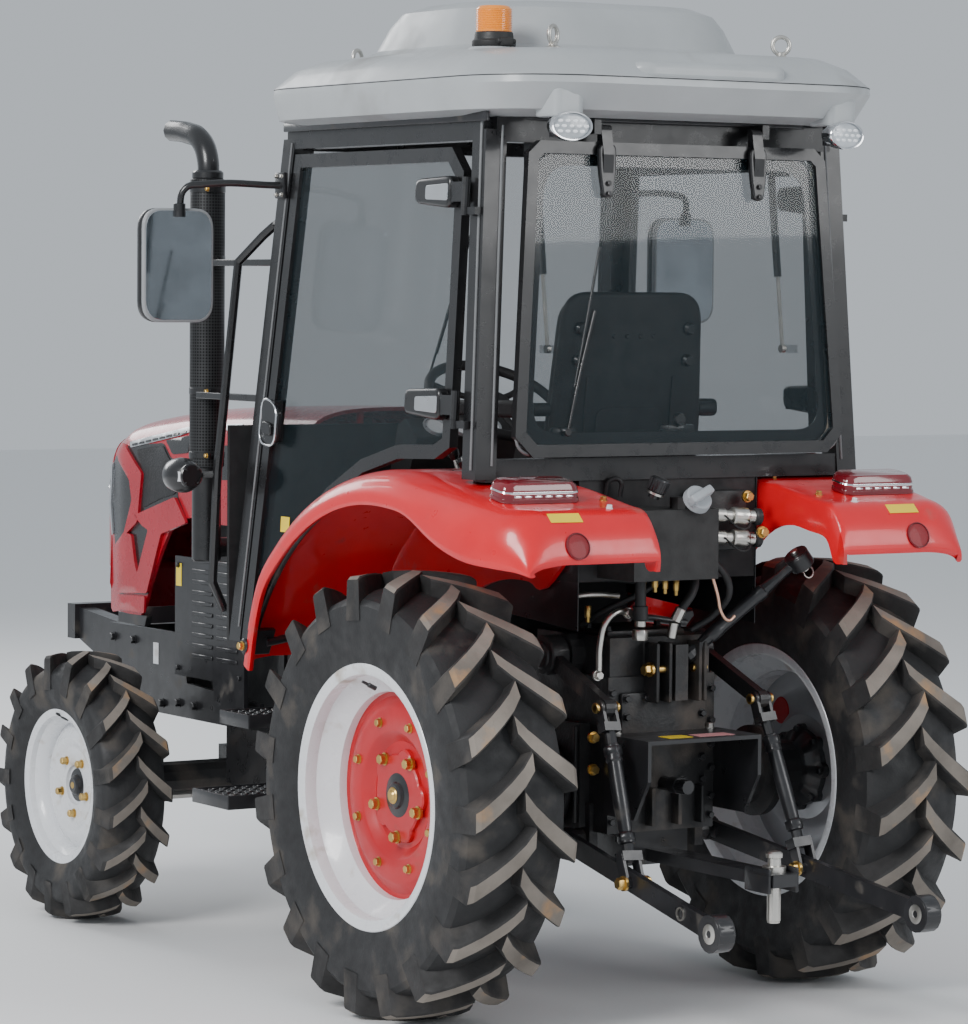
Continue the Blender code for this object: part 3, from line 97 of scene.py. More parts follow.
def material(name, colour, rough, metal=0.0, coat=0.0, spread=0.12, grain=0.0, grain_scale=90, dirt=None,
        dirt_amount=0.5, dirt_scale=5, dirt_low=None):
    """Finish with cloudy colour, uneven roughness, a fine grain and, where asked, dirt in patches.

    dirt_low is a (full, none) pair of heights between which the dirt fades upwards."""
    made = bpy.data.materials.new(name)
    made.use_nodes = True
    nodes, links = made.node_tree.nodes, made.node_tree.links
    shader = nodes["Principled BSDF"]
    shader.inputs["Metallic"].default_value = metal
    shader.inputs["Coat Weight"].default_value = coat
    shader.inputs["Coat Roughness"].default_value = 0.08
    place = nodes.new("ShaderNodeTexCoord").outputs["Object"]

    def noise(scale, detail=4):
        cloud = nodes.new("ShaderNodeTexNoise")
        cloud.inputs["Scale"].default_value = scale
        cloud.inputs["Detail"].default_value = detail
        links.new(place, cloud.inputs["Vector"])
        return cloud.outputs["Fac"]

    def spread_over(value, low, high, out_low, out_high):
        shift = nodes.new("ShaderNodeMapRange")
        for key, number in zip(("From Min", "From Max", "To Min", "To Max"),
                (low, high, out_low, out_high)):
            shift.inputs[key].default_value = number
        links.new(value, shift.inputs["Value"])
        return shift.outputs["Result"]

    def mixed(amount, first, second):
        mix = nodes.new("ShaderNodeMix")
        mix.data_type = "RGBA"
        links.new(amount, mix.inputs["Factor"])
        for socket, value in zip((mix.inputs[6], mix.inputs[7]), (first, second)):
            if isinstance(value, tuple):
                socket.default_value = (*value[:3], 1)
            else:
                links.new(value, socket)
        return mix.outputs[2]

    cloud = noise(7)
    dark = tuple(c * (1 - spread) for c in colour)
    pale = tuple(min(c * (1 + spread) + 0.01 * spread, 1) for c in colour)
    shade = mixed(spread_over(cloud, 0.3, 0.7, 0, 1), dark, pale)
    worn = spread_over(noise(26), 0.3, 0.7, max(rough * 0.8, 0.02), min(rough * 1.25, 1))
    if dirt:
        patches = spread_over(noise(dirt_scale, 9), 0.66 - 0.3 * dirt_amount, 0.8 - 0.2 * dirt_amount, 0,
            1)
        if dirt_low:
            height = nodes.new("ShaderNodeSeparateXYZ")
            links.new(place, height.inputs["Vector"])
            fade = spread_over(height.outputs["Z"], dirt_low[0], dirt_low[1], 1, 0)
            product = nodes.new("ShaderNodeMath")
            product.operation = "MULTIPLY"
            links.new(patches, product.inputs[0])
            links.new(fade, product.inputs[1])
            patches = product.outputs["Value"]
        shade = mixed(patches, shade, dirt)
        dull = nodes.new("ShaderNodeMix")
        links.new(patches, dull.inputs["Factor"])
        links.new(worn, dull.inputs[2])
        dull.inputs[3].default_value = 0.85
        worn = dull.outputs[0]
    links.new(shade, shader.inputs["Base Color"])
    links.new(worn, shader.inputs["Roughness"])
    if grain:
        bump = nodes.new("ShaderNodeBump")
        bump.inputs["Strength"].default_value = grain
        bump.inputs["Distance"].default_value = 0.002
        links.new(noise(grain_scale, 3), bump.inputs["Height"])
        links.new(bump.outputs["Normal"], shader.inputs["Normal"])
    return made


def finish_piece(piece, body, paint, slot, *nodes):
    """Give a finished piece its paint and its body, and hide the CAD nodes it stands for."""
    piece.data.materials.clear()
    for one in (paint if isinstance(paint, (list, tuple)) else (paint,)):
        piece.data.materials.append(one)
    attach(piece, body)
    if nodes:
        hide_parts(*nodes)


def mesh_piece(name, points, faces):
    """Object from points and faces, with its faces pointing out."""
    mesh = bpy.data.meshes.new(name)
    mesh.from_pydata([tuple(p) for p in points], [], faces)
    made = bpy.data.objects.new(name, mesh)
    bpy.context.collection.objects.link(made)
    bpy.ops.object.select_all(action="DESELECT")
    bpy.context.view_layer.objects.active = made
    made.select_set(True)
    bpy.ops.object.mode_set(mode="EDIT")
    bpy.ops.mesh.select_all(action="SELECT")
    bpy.ops.mesh.remove_doubles(threshold=1e-5)
    bpy.ops.mesh.normals_make_consistent(inside=False)
    bpy.ops.object.mode_set(mode="OBJECT")
    return made


def soften(piece, angle=35):
    """Smooth shading with the real edges kept sharp."""
    bpy.ops.object.select_all(action="DESELECT")
    bpy.context.view_layer.objects.active = piece
    piece.select_set(True)
    bpy.ops.object.shade_smooth_by_angle(angle=math.radians(angle))
    return piece


def turned(name, centre, axis, profile, steps=96, angle=30):
    """Shape turned about an axis. Profile points are (radius, distance along the axis), as a loop
    or from axis to axis."""
    along = Vector(axis).normalized()
    side = along.orthogonal().normalized()
    up = along.cross(side)
    ends_open = profile[0][0] > 1e-6 or profile[-1][0] > 1e-6
    points, faces, count = [], [], len(profile)
    for step in range(steps):
        turn = 2 * math.pi * step / steps
        way = side * math.cos(turn) + up * math.sin(turn)
        points += [Vector(centre) + along * out + way * radius for radius, out in profile]
        here, there = step * count, (step + 1) % steps * count
        for i in range(count if ends_open else count - 1):
            j = (i + 1) % count
            ring = [here + i, here + j, there + j, there + i]
            if profile[i][0] < 1e-6:
                ring.remove(there + i)
            if profile[j][0] < 1e-6:
                ring.remove(there + j)
            faces.append(ring)
    return soften(mesh_piece(name, points, faces), angle)


def joined(name, *parts):
    """Several shapes as one piece."""
    parts = [p for p in parts if p is not None]
    bpy.ops.object.select_all(action="DESELECT")
    for part in parts:
        part.select_set(True)
    bpy.context.view_layer.objects.active = parts[0]
    if len(parts) > 1:
        bpy.ops.object.join()
    parts[0].name = name
    return parts[0]


MUD = (0.2, 0.175, 0.15)
rubber = material("tyre_rubber", (0.017, 0.017, 0.018), 0.62, spread=0.25, grain=0.35, grain_scale=160,
    dirt=(0.1, 0.085, 0.07), dirt_amount=0.35, dirt_scale=7)
lug_rubber = material("lug_rubber", (0.022, 0.021, 0.021), 0.72, spread=0.3, grain=0.5, grain_scale=120,
    dirt=(0.075, 0.066, 0.058), dirt_amount=0.55, dirt_scale=9)
lug_mud = material("lug_mud", MUD, 0.95, spread=0.3, grain=0.9, grain_scale=70, dirt=(0.42, 0.24, 0.11),
    dirt_amount=0.3, dirt_scale=9)


def bar_lugs(name, centre, side, outer, half, count, carcass, width, curl, sweep):
    """Bar lugs round both sides of a tread, with their tops as a second material.

    carcass gives the tread's radius at a distance from its middle; curl is how far round a bar
    reaches, and sweep how much of that comes near the middle."""
    points, faces, tops = [], [], []
    stations = (0.0, 0.18, 0.4, 0.62, 0.82, 0.93, 1.0)
    for flip in (1, -1):
        for k in range(count):
            start = 2 * math.pi * (k + (0.5 if flip < 0 else 0)) / count
            first = len(points)
            for t in stations:
                across = (-0.11 + 1.11 * t) * half
                lag = -curl * (t ** sweep)
                top_r = outer - 0.012 * t ** 2 - (0.0 if t < 0.99 else 0.006)
                base_r = carcass(abs(across)) - 0.006
                wide = width * (1.0 + 0.1 * t)
                if t == 1.0:
                    base_r = carcass(half * 0.985) - 0.05
                for radius, spread_by in ((base_r, 1.5), (top_r - 0.004, 1.04), (top_r, 0.86),
                        (top_r, -0.86), (top_r - 0.004, -1.04), (base_r, -1.5)):
                    turn = start + lag + spread_by * wide / 2 / outer
                    out = across + (0.004 if t == 1.0 and radius == base_r else 0)
                    points.append(Vector(centre) + Vector((side * flip * out, -radius * math.sin(turn),
                        radius * math.cos(turn))))
            for s in range(len(stations) - 1):
                low = first + 6 * s
                for i in range(6):
                    j = (i + 1) % 6
                    tops.append(i in (1, 2, 3))
                    faces.append([low + i, low + j, low + 6 + j, low + 6 + i])
            faces.append([first + i for i in range(6)])
            faces.append([first + 6 * (len(stations) - 1) + i for i in reversed(range(6))])
            tops += [False, False]
    made = mesh_piece(name, points, faces)
    made.data.materials.append(lug_rubber)
    made.data.materials.append(lug_mud)
    for face in made.data.polygons:
        middle = face.center - Vector(centre)
        radius = math.hypot(middle.y, middle.z)
        outward = Vector((0, middle.y, middle.z)).normalized()
        face.material_index = 1 if outward.dot(face.normal) > 0.8 and radius > outer - 0.02 else 0
    return soften(made, 25)


TYRES = {"rear": dict(seat=0.305, rim=0.132, lugs=19, depth=0.04, width=0.05, curl=0.25),
    "front": dict(seat=0.2035, rim=0.078, lugs=17, depth=0.028, width=0.036, curl=0.27)}
for end, tyre in TYRES.items():
    for name, side in SIDES.items():
        low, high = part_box(f"{end}_tyre_{name}")
        middle = (low + high) / 2
        outer, half = (high.z - low.z) / 2, (high.x - low.x) / 2
        centre = Vector((middle.x, middle.y, outer))
        shoulder, seat, rim = outer - tyre["depth"], tyre["seat"] + 0.001, tyre["rim"] - 0.01

        def carcass(across, shoulder=shoulder, half=half):
            return shoulder - 0.03 * (across / half) ** 2.4

        tread = [(carcass(half * t), half * t * 0.965) for t in (0.0, 0.3, 0.55, 0.75, 0.88, 0.95)]
        wall_top = carcass(half * 0.95)
        wall = []
        for t in (0.08, 0.16, 0.26, 0.38, 0.5, 0.62, 0.74, 0.84, 0.92):
            bulge = math.sin(math.pi * (0.3 + 0.7 * t)) ** 0.8
            wall.append((wall_top + (seat - wall_top) * t, rim + (half - rim) * max(bulge, 0.0)))
        bead_ridge = [(seat + 0.026, rim + 0.006), (seat + 0.021, rim + 0.008), (seat + 0.016, rim + 0.002)]
        ring = tread + wall + bead_ridge + [(seat, rim - 0.002), (seat + 0.001, rim - 0.022)]
        inner = [(outer - 0.075, half * 0.7)]
        section = ring + inner
        section = section + [(r, -x) for r, x in reversed(section)][:-1]
        body = turned(f"{end}_carcass_{name}", centre, (side, 0, 0), section, steps=112)
        lugs = bar_lugs(f"{end}_lugs_{name}", centre, side, outer, half * 0.985, tyre["lugs"], carcass,
            tyre["width"], tyre["curl"], 0.8)
        finish_piece(body, f"{end}_wheel_{name}", rubber, "rubber", f"{end}_tyre_{name}")
        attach(lugs, f"{end}_wheel_{name}")


# ---------------------------------------------------------------- wheels
# Welded steel rims, gloss white, with their barrels dished in the middle. The rear discs are red
# with a raised lobed boss and black hubs; the front discs are white with five brass nuts.

def ring_of_places(centre, axis, radius, count, start=0.0):
    """Places on a circle round an axis."""
    along = Vector(axis).normalized()
    first = along.cross(Vector((0, 0, 1)) if abs(along.z) < 0.9 else Vector((0, 1, 0))).normalized()
    second = along.cross(first)
    turns = [start + 2 * math.pi * k / count for k in range(count)]
    return [Vector(centre) + first * radius * math.cos(t) + second * radius * math.sin(t) for t in turns]


def bolts(name, places, axis, size, head=0.65, washer=1.25):
    """Hexagon heads, each on its round washer. size is the width across a head's corners."""
    along = Vector(axis).normalized()
    first = along.orthogonal().normalized()
    second = along.cross(first)
    points, faces = [], []
    for place in places:
        levels = [(washer * size / 2, -0.004, 16), (washer * size / 2, 0.1 * size, 16),
            (size / 2, 0.1 * size, 6), (size / 2, (head - 0.08) * size, 6), (0.42 * size, head * size, 6)]
        for a, b in ((0, 1), (2, 4)):
            start = len(points)
            for radius, out, sides in levels[a:b + 1]:
                points += [Vector(place) + along * out + radius
                    * (first * math.cos(2 * math.pi * k / sides) + second
                    * math.sin(2 * math.pi * k / sides)) for k in range(sides)]
            sides = levels[a][2]
            for level in range(b - a):
                low = start + level * sides
                faces += [[low + k, low + (k + 1) % sides, low + sides + (k + 1) % sides, low + sides + k]
                    for k in range(sides)]
            faces.append([start + (b - a) * sides + k for k in range(sides)])
            faces.append([start + k for k in reversed(range(sides))])
    return soften(mesh_piece(name, points, faces), 30)


def lofted(name, rings, angle=35):
    """Closed solid through rings of equally many points."""
    count = len(rings[0])
    faces = [[i * count + k, i * count + (k + 1) % count, (i + 1) * count + (k + 1) % count, (i + 1)
        * count + k] for i in range(len(rings) - 1) for k in range(count)]
    faces += [list(range(count)), list(range((len(rings) - 1) * count, len(rings) * count))]
    made = mesh_piece(name, [p for ring in rings for p in ring], faces)
    soften(made, angle)
    return made


def lobed(name, centre, side, levels, steps):
    """Boss with lobes round it. levels are (distance out, radius, lobe height, lobes, sharpness)."""
    rings = []
    for out, mean, lobe, count, power in levels:
        turns = [2 * math.pi * k / steps for k in range(steps)]
        radii = [mean + lobe * max(0.0, math.cos(count * t)) ** power for t in turns]
        rings.append([centre + Vector((side * out, r * math.cos(t), r * math.sin(t)))
            for r, t in zip(radii, turns)])
    return lofted(name, rings, 40)


white_paint = material("rim_white", (0.76, 0.77, 0.79), 0.28, coat=0.35, spread=0.04, grain=0.03,
    grain_scale=40, dirt=(0.44, 0.38, 0.31), dirt_amount=0.18, dirt_scale=12)
disc_red = material("disc_red", (0.5, 0.006, 0.012), 0.38, coat=0.2, spread=0.08, grain=0.06,
    grain_scale=30, dirt=(0.3, 0.1, 0.08), dirt_amount=0.12, dirt_scale=10)
black_paint = material("chassis_black", (0.014, 0.014, 0.016), 0.33, coat=0.25, spread=0.3, grain=0.1,
    grain_scale=55, dirt=(0.1, 0.088, 0.075), dirt_amount=0.13, dirt_scale=11)
brass = material("brass", (0.62, 0.42, 0.14), 0.34, metal=1.0, spread=0.18, grain=0.08, grain_scale=200)
zinc = material("zinc", (0.62, 0.6, 0.56), 0.34, metal=1.0, spread=0.15, grain=0.1, grain_scale=150)
disc_silver = material("disc_silver", (0.46, 0.47, 0.49), 0.38, metal=0.7, spread=0.08, grain=0.05)

RIM_CURL = 0.0095
for end, seat, flange, half, well in (("rear", 0.305, 0.33, 0.132, 0.262),
        ("front", 0.2035, 0.222, 0.078, 0.184)):
    for name, side in SIDES.items():
        low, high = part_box(f"{end}_wheel_{name}")
        middle = (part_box(f"{end}_tyre_{name}")[0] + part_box(f"{end}_tyre_{name}")[1]) / 2
        centre = Vector((middle.x, middle.y, (low.z + high.z) / 2))
        out = (side, 0, 0)
        edge = [(well, 0.34 * half), (well + 0.012, 0.42 * half), (seat - 0.01, 0.62 * half),
            (seat, 0.7 * half), (seat, half - RIM_CURL - 0.004), (seat + 0.004, half - RIM_CURL),
            (flange - 0.005, half - RIM_CURL), (flange - 0.001, half - 0.0065), (flange, half - 0.003),
            (flange - 0.003, half), (seat + 0.006, half - 0.0015), (seat - 0.004, half - 0.006),
            (seat - 0.0065, half - RIM_CURL - 0.01), (seat - 0.0065, 0.72 * half),
            (seat - 0.018, 0.6 * half), (well - 0.006, 0.4 * half), (well - 0.007, 0.32 * half)]
        barrel_loop = edge + [(r, -x) for r, x in reversed(edge)]
        barrel = turned(f"{end}_barrel_{name}", centre, out, barrel_loop, steps=112)
        if end == "rear":
            dish = [(0.0, 0.024), (0.088, 0.024), (0.094, 0.026), (0.1, 0.024), (0.132, 0.02),
                (0.142, 0.026), (0.156, 0.042), (0.163, 0.045), (0.212, 0.045), (0.22, 0.042),
                (0.244, 0.03), (0.254, 0.031), (0.2565, 0.034), (0.2565, 0.026), (0.254, 0.023),
                (0.244, 0.021), (0.216, 0.035), (0.162, 0.036), (0.15, 0.03), (0.136, 0.013),
                (0.094, 0.012), (0.0, 0.012)]
            disc = turned(f"rear_disc_{name}", centre, out, dish, steps=96)
            boss = lobed(f"rear_boss_{name}", centre, side, [(level, 0.098 + grow, 0.018, 5, 0.7)
                for level, grow in ((0.02, 0.004), (0.033, 0.004), (0.0365, 0.0))], 80)
            valve_hole = turned("hole_rim", centre + Vector((side * 0.045, 0.187, 0)), out,
                [(0.012, 0.001), (0.017, 0.001), (0.017, -0.004), (0.012, -0.004)], steps=20)
            red_part = joined(f"rear_disc_{name}", disc, boss, valve_hole)
            nuts = bolts(f"rear_nuts_{name}", ring_of_places(centre + Vector((side * 0.0365, 0, 0)), out,
                0.103, 5, math.pi / 2), out, 0.026, head=0.75)
            rim_bolts = bolts("rim_bolts", ring_of_places(centre + Vector((side * 0.045, 0, 0)), out,
                0.187, 8, 0.39), out, 0.02)
            nuts = joined(f"rear_nuts_{name}", nuts, rim_bolts)
            hub = turned(f"rear_hub_{name}", centre, out, [(0.0, 0.05), (0.026, 0.05), (0.031, 0.047),
                (0.034, 0.04), (0.052, 0.038), (0.06, 0.034), (0.064, 0.024), (0.0, 0.024)], steps=48)
            cap = turned(f"rear_cap_{name}", centre, out, [(0.0, 0.058), (0.01, 0.058), (0.014, 0.054),
                (0.018, 0.054), (0.021, 0.051), (0.021, 0.046), (0.0, 0.046)], steps=32)
            inner = lobed("inner_flange", centre, side, [(level, 0.1 + grow, lobe, 8, 0.8)
                for level, grow, lobe in ((0.012, 0.0, 0.014), (-0.006, 0.0, 0.014), (-0.03, -0.03, 0.0),
                (-0.046, -0.034, 0.0))], 96)
            studs = bolts("inner_studs", ring_of_places(centre + Vector((side * -0.006, 0, 0)), out, 0.1,
                8), (-side, 0, 0), 0.02)
            hub = joined(f"rear_hub_{name}", hub, inner, studs)
            back_disc = turned(f"rear_disc_back_{name}", centre, out, [(0.1005, 0.0115), (0.136, 0.0125),
                (0.151, 0.029), (0.163, 0.035), (0.215, 0.0345), (0.243, 0.0205), (0.2555, 0.0205),
                (0.2555, 0.0195), (0.242, 0.019), (0.214, 0.033), (0.164, 0.0335), (0.152, 0.0275),
                (0.137, 0.011), (0.1005, 0.01)], steps=96)
            finish_piece(red_part, f"rear_wheel_{name}", disc_red, "red")
            finish_piece(back_disc, f"rear_wheel_{name}", disc_silver, "white")
            patch = turned(f"rear_patch_{name}", centre + Vector((side * 0.033, -0.13, 0.135)), out,
                [(0.0, 0.0), (0.034, 0.0), (0.036, -0.0015), (0.034, -0.003), (0.0, -0.003)], steps=40)
            finish_piece(patch, f"rear_wheel_{name}", disc_red, "red")
        else:
            dish = [(0.0, 0.012), (0.052, 0.012), (0.054, 0.014), (0.056, 0.026), (0.062, 0.028),
                (0.104, 0.027), (0.112, 0.029), (0.128, 0.038), (0.14, 0.038), (0.16, 0.028),
                (0.176, 0.017), (0.1785, 0.017), (0.1785, 0.01), (0.16, 0.021), (0.14, 0.031),
                (0.128, 0.031), (0.11, 0.02), (0.06, 0.018), (0.0, 0.005)]
            disc = turned(f"front_disc_{name}", centre, out, dish, steps=80)
            finish_piece(disc, f"front_wheel_{name}", white_paint, "white")
            nuts = bolts(f"front_nuts_{name}", ring_of_places(centre + Vector((side * 0.028, 0, 0)), out,
                0.08, 5, math.pi / 2), out, 0.021, head=0.9)
            hub = turned(f"front_hub_{name}", centre, out, [(0.0, 0.034), (0.02, 0.034), (0.026, 0.03),
                (0.03, 0.02), (0.046, 0.018), (0.05, 0.01), (0.05, -0.036), (0.0, -0.036)], steps=40)
            cap = turned(f"front_cap_{name}", centre, out, [(0.0, 0.0355), (0.008, 0.0355),
                (0.011, 0.033), (0.0, 0.032)], steps=24)
        valve = turned(f"{end}_valve_{name}", centre + Vector((side * (half - 0.02), 0, well + 0.01)),
            (side, 0, 0.5), [(0.0, 0.03), (0.0035, 0.03), (0.004, 0.012), (0.006, 0.01), (0.006, -0.012),
            (0.0, -0.012)], steps=12)
        finish_piece(barrel, f"{end}_wheel_{name}", white_paint, "white", f"{end}_wheel_{name}")
        finish_piece(nuts, f"{end}_wheel_{name}", brass, "steel")
        finish_piece(joined(f"{end}_hub_{name}", hub, valve), f"{end}_wheel_{name}", black_paint, "black")
        finish_piece(cap, f"{end}_wheel_{name}", brass, "steel")


# ---------------------------------------------------------------- axles, engine and gearcase
# Cast iron and plate, painted satin black over a rough cast skin, with bolted covers and flanges.
# The solids keep their shape; bolts, ribs, covers and pipes are fixed on them.

def paint_nodes(paint, *nodes):
    """Give CAD nodes their finish."""
    for node in nodes:
        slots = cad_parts[node].data.materials
        slots.clear()
        slots.append(paint)


def block(low, high, bevel=0.003, segments=2, name="block"):
    """Block between two corners, with rounded edges."""
    low, high = Vector(low), Vector(high)
    bpy.ops.object.select_all(action="DESELECT")
    bpy.ops.mesh.primitive_cube_add(size=1, location=(low + high) / 2)
    made = bpy.context.object
    made.name = name
    made.scale = [abs(v) for v in high - low]
    bpy.ops.object.transform_apply(location=True, rotation=True, scale=True)
    if bevel:
        edges = made.modifiers.new("round", "BEVEL")
        edges.width = bevel
        edges.segments = segments
        edges.harden_normals = False
        bpy.ops.object.modifier_apply(modifier="round")
    return soften(made, 40)


def rod(start, end, radius, sides=20, bevel=0.0015, name="rod"):
    """Round bar between two points, with its ends eased."""
    start, end = Vector(start), Vector(end)
    bpy.ops.object.select_all(action="DESELECT")
    bpy.ops.mesh.primitive_cylinder_add(vertices=sides, radius=radius, depth=(end - start).length,
        location=(start + end) / 2, rotation=(end - start).to_track_quat("Z", "Y").to_euler())
    made = bpy.context.object
    made.name = name
    bpy.ops.object.transform_apply(location=True, rotation=True, scale=True)
    if bevel:
        edges = made.modifiers.new("round", "BEVEL")
        edges.width = bevel
        edges.limit_method = "ANGLE"
        edges.angle_limit = math.radians(50)
        bpy.ops.object.modifier_apply(modifier="round")
    return soften(made, 40)


def pipe(points, radius, name="pipe", resolution=6, smooth=True):
    """Bent pipe or hose along a smooth curve through its points."""
    curve = bpy.data.curves.new(name, "CURVE")
    curve.dimensions = "3D"
    curve.bevel_depth = radius
    curve.bevel_resolution = 3
    curve.use_fill_caps = True
    curve.resolution_u = resolution
    line = curve.splines.new("BEZIER" if smooth else "POLY")
    if smooth:
        line.bezier_points.add(len(points) - 1)
        for knot, point in zip(line.bezier_points, points):
            knot.co = point
            knot.handle_left_type = knot.handle_right_type = "AUTO"
    else:
        line.points.add(len(points) - 1)
        for knot, point in zip(line.points, points):
            knot.co = (*point, 1)
    made = bpy.data.objects.new(name, curve)
    bpy.context.collection.objects.link(made)
    bpy.ops.object.select_all(action="DESELECT")
    made.select_set(True)
    bpy.context.view_layer.objects.active = made
    bpy.ops.object.convert(target="MESH")
    return soften(bpy.context.object, 50)


cast_black = material("cast_black", (0.016, 0.016, 0.017), 0.48, coat=0.12, spread=0.35, grain=0.55,
    grain_scale=130, dirt=(0.12, 0.1, 0.085), dirt_amount=0.38, dirt_scale=6)
engine_grey = material("engine_grey", (0.06, 0.062, 0.065), 0.55, spread=0.25, grain=0.6, grain_scale=90)
paint_nodes(cast_black, "front_axle", "transmission_housing", "knuckle_left", "knuckle_right",
    "lift_arm_left", "lift_arm_right")
paint_nodes(black_paint, "front_frame", "drawbar", "pto_guard", "lift_rod_left", "lift_rod_right",
    "lower_link_left", "lower_link_right", "top_link")
paint_nodes(engine_grey, "engine_block")
paint_nodes(zinc, "tie_rod", "pto_shaft", "strut_rod_left", "strut_rod_right")

REAR_Y = (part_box("rear_tyre_left")[0].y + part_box("rear_tyre_left")[1].y) / 2
case_back = REAR_Y + 0.22
AXLE_Z, PTO_Z = 0.552, 0.57

# Rear of the gearcase: a bolted cover, the lift shaft's end caps, axle flanges and the top link's
# bracket ears with their pin.
cover = block((-0.128, case_back - 0.004, 0.56), (0.128, case_back + 0.012, 0.8), 0.006)
lid = block((-0.118, REAR_Y - 0.07, 0.93), (0.118, REAR_Y + 0.15, 0.948), 0.006)
ribs = [block((x - 0.006, case_back - 0.006, 0.465), (x + 0.006, case_back + 0.03, 0.56), 0.003)
    for x in (-0.11, -0.04, 0.04, 0.11)]
ears = [block((x - 0.006, case_back, 0.775), (x + 0.006, case_back + 0.058, 0.925), 0.008)
    for x in (-0.078, -0.094, 0.012, 0.05)]
caps = [turned("cap", (side * 0.222, REAR_Y + 0.05, 0.885), (side, 0, 0), [(0.0, 0.034), (0.03, 0.034),
    (0.034, 0.031), (0.036, 0.026), (0.047, 0.024), (0.05, 0.02), (0.05, -0.024), (0.0, -0.024)],
    steps=40) for side in (1, -1)]
trumpets = [turned("trumpet", (side * 0.196, REAR_Y, AXLE_Z), (side, 0, 0), [(0.086, 0.0), (0.112, 0.0),
    (0.114, 0.006), (0.114, 0.018), (0.104, 0.022), (0.084, 0.06), (0.078, 0.14), (0.084, 0.22),
    (0.104, 0.236), (0.118, 0.24), (0.118, 0.262), (0.086, 0.262)], steps=48) for side in (1, -1)]
side_ribs = [block((side * 0.186, y, 0.47), (side * 0.198, y + 0.012, 0.712), 0.003) for side in (1, -1)
    for y in (REAR_Y - 0.135, REAR_Y + 0.118)]
finish_piece(joined("gearcase_covers", cover, lid, *ribs, *ears, *caps, *trumpets, *side_ribs), "chassis",
    cast_black, "black")
cover_bolts = [(x, case_back + 0.012, z) for x in (-0.114, 0.114)
    for z in (0.575, 0.63, 0.685, 0.74, 0.786)]
cover_bolts += [(x, case_back + 0.012, z) for x in (-0.057, 0.0, 0.057) for z in (0.575, 0.786)]
rim_places = [(side * 0.15, case_back, z) for side in (1, -1) for z in (0.48, 0.53, 0.6, 0.66, 0.72, 0.8)]
lid_bolts = [(x, y, 0.948) for x in (-0.105, 0.105) for y in (REAR_Y - 0.055, REAR_Y + 0.045, REAR_Y
    + 0.135)]
trumpet_bolts = [p for side in (1, -1) for p in ring_of_places((side * 0.214, REAR_Y, AXLE_Z),
    (side, 0, 0), 0.104, 10, 0.2)]
left_trumpet = bolts("b", [p for p in trumpet_bolts if p.x > 0], (1, 0, 0), 0.018)
right_trumpet = bolts("b", [p for p in trumpet_bolts if p.x < 0], (-1, 0, 0), 0.018)
finish_piece(joined("gearcase_bolts", bolts("b", cover_bolts + rim_places, (0, 1, 0), 0.018),
    bolts("b", lid_bolts, (0, 0, 1), 0.018), left_trumpet, right_trumpet), "chassis", black_paint,
    "black")
top_pin = joined("top_link_pin",
    rod((-0.108, case_back + 0.036, 0.858), (-0.064, case_back + 0.036, 0.858), 0.01),
    rod((0.004, case_back + 0.036, 0.858), (0.062, case_back + 0.036, 0.858), 0.01),
    bolts("b", [(0.062, case_back + 0.036, 0.858)], (1, 0, 0), 0.03))
finish_piece(top_pin, "chassis", brass, "steel")

# Pipes, hoses and fittings over the gearcase: silver lift pipes, a standing breather pipe, a copper
# pipe from the filler box, black hoses and a row of brass fittings on the valve block.
copper = material("copper_pipe", (0.72, 0.44, 0.32), 0.35, metal=1.0, spread=0.15, grain=0.1,
    grain_scale=120)
hose_black = material("hose_black", (0.013, 0.013, 0.014), 0.55, spread=0.25, grain=0.35, grain_scale=220)
silver_pipes = joined("lift_pipes", pipe([(0.199, 1.052, 0.86), (0.198, 1.056, 0.93),
    (0.184, 1.062, 0.982), (0.152, 1.066, 1.005), (0.12, 1.06, 1.0)], 0.008), pipe([(0.25, 0.96, 1.035),
    (0.19, 1.005, 1.045), (0.12, 1.02, 1.04)], 0.008), rod((0.11, 1.1, 0.935), (0.11, 1.1, 0.962), 0.02,
    6), rod((0.11, 1.1, 0.968), (0.11, 1.1, 0.984), 0.014), rod((0.01, 1.09, 0.936),
    (0.005, 1.095, 0.975), 0.012), rod((0.003, 1.097, 0.978), (-0.01, 1.105, 1.01), 0.014, 8),
    bolts("b", [(0.199, 1.046, 0.848), (0.12, 1.06, 1.0)], (0, 1, 0), 0.022))
finish_piece(silver_pipes, "chassis", zinc, "steel")
hoses = joined("hoses", rod((0.11, 1.1, 0.984), (0.11, 1.1, 1.02), 0.019),
    rod((0.11, 1.1, 1.018), (0.11, 1.1, 1.088), 0.014), pipe([(-0.01, 1.105, 1.008), (-0.04, 1.11, 1.05),
    (-0.08, 1.06, 1.09), (-0.11, 1.02, 1.11)], 0.011), pipe([(0.225, 0.94, 1.09), (0.12, 1.0, 1.08),
    (0.02, 1.03, 1.075), (-0.07, 1.03, 1.09)], 0.009), pipe([(0.15, 0.9, 0.96), (0.14, 0.98, 1.0),
    (0.06, 1.04, 1.05), (-0.02, 1.03, 1.09)], 0.008), pipe([(-0.07, 1.12, 1.15), (-0.13, 1.14, 1.06),
    (-0.12, 1.09, 0.99), (-0.08, 1.05, 0.95)], 0.009), pipe([(0.245, 0.95, 1.08), (0.29, 0.985, 1.18),
    (0.22, 1.075, 1.235), (0.18, 1.085, 1.18)], 0.007), pipe([(0.19, 1.06, 1.29), (0.185, 1.075, 1.33),
    (0.165, 1.085, 1.33), (0.16, 1.08, 1.29)], 0.006), block((-0.105, 1.04, 1.1), (0.14, 1.075, 1.14),
    0.005), block((-0.21, 1.062, 1.15), (-0.045, 1.1, 1.3), 0.006))
finish_piece(hoses, "chassis", hose_black, "plastic")
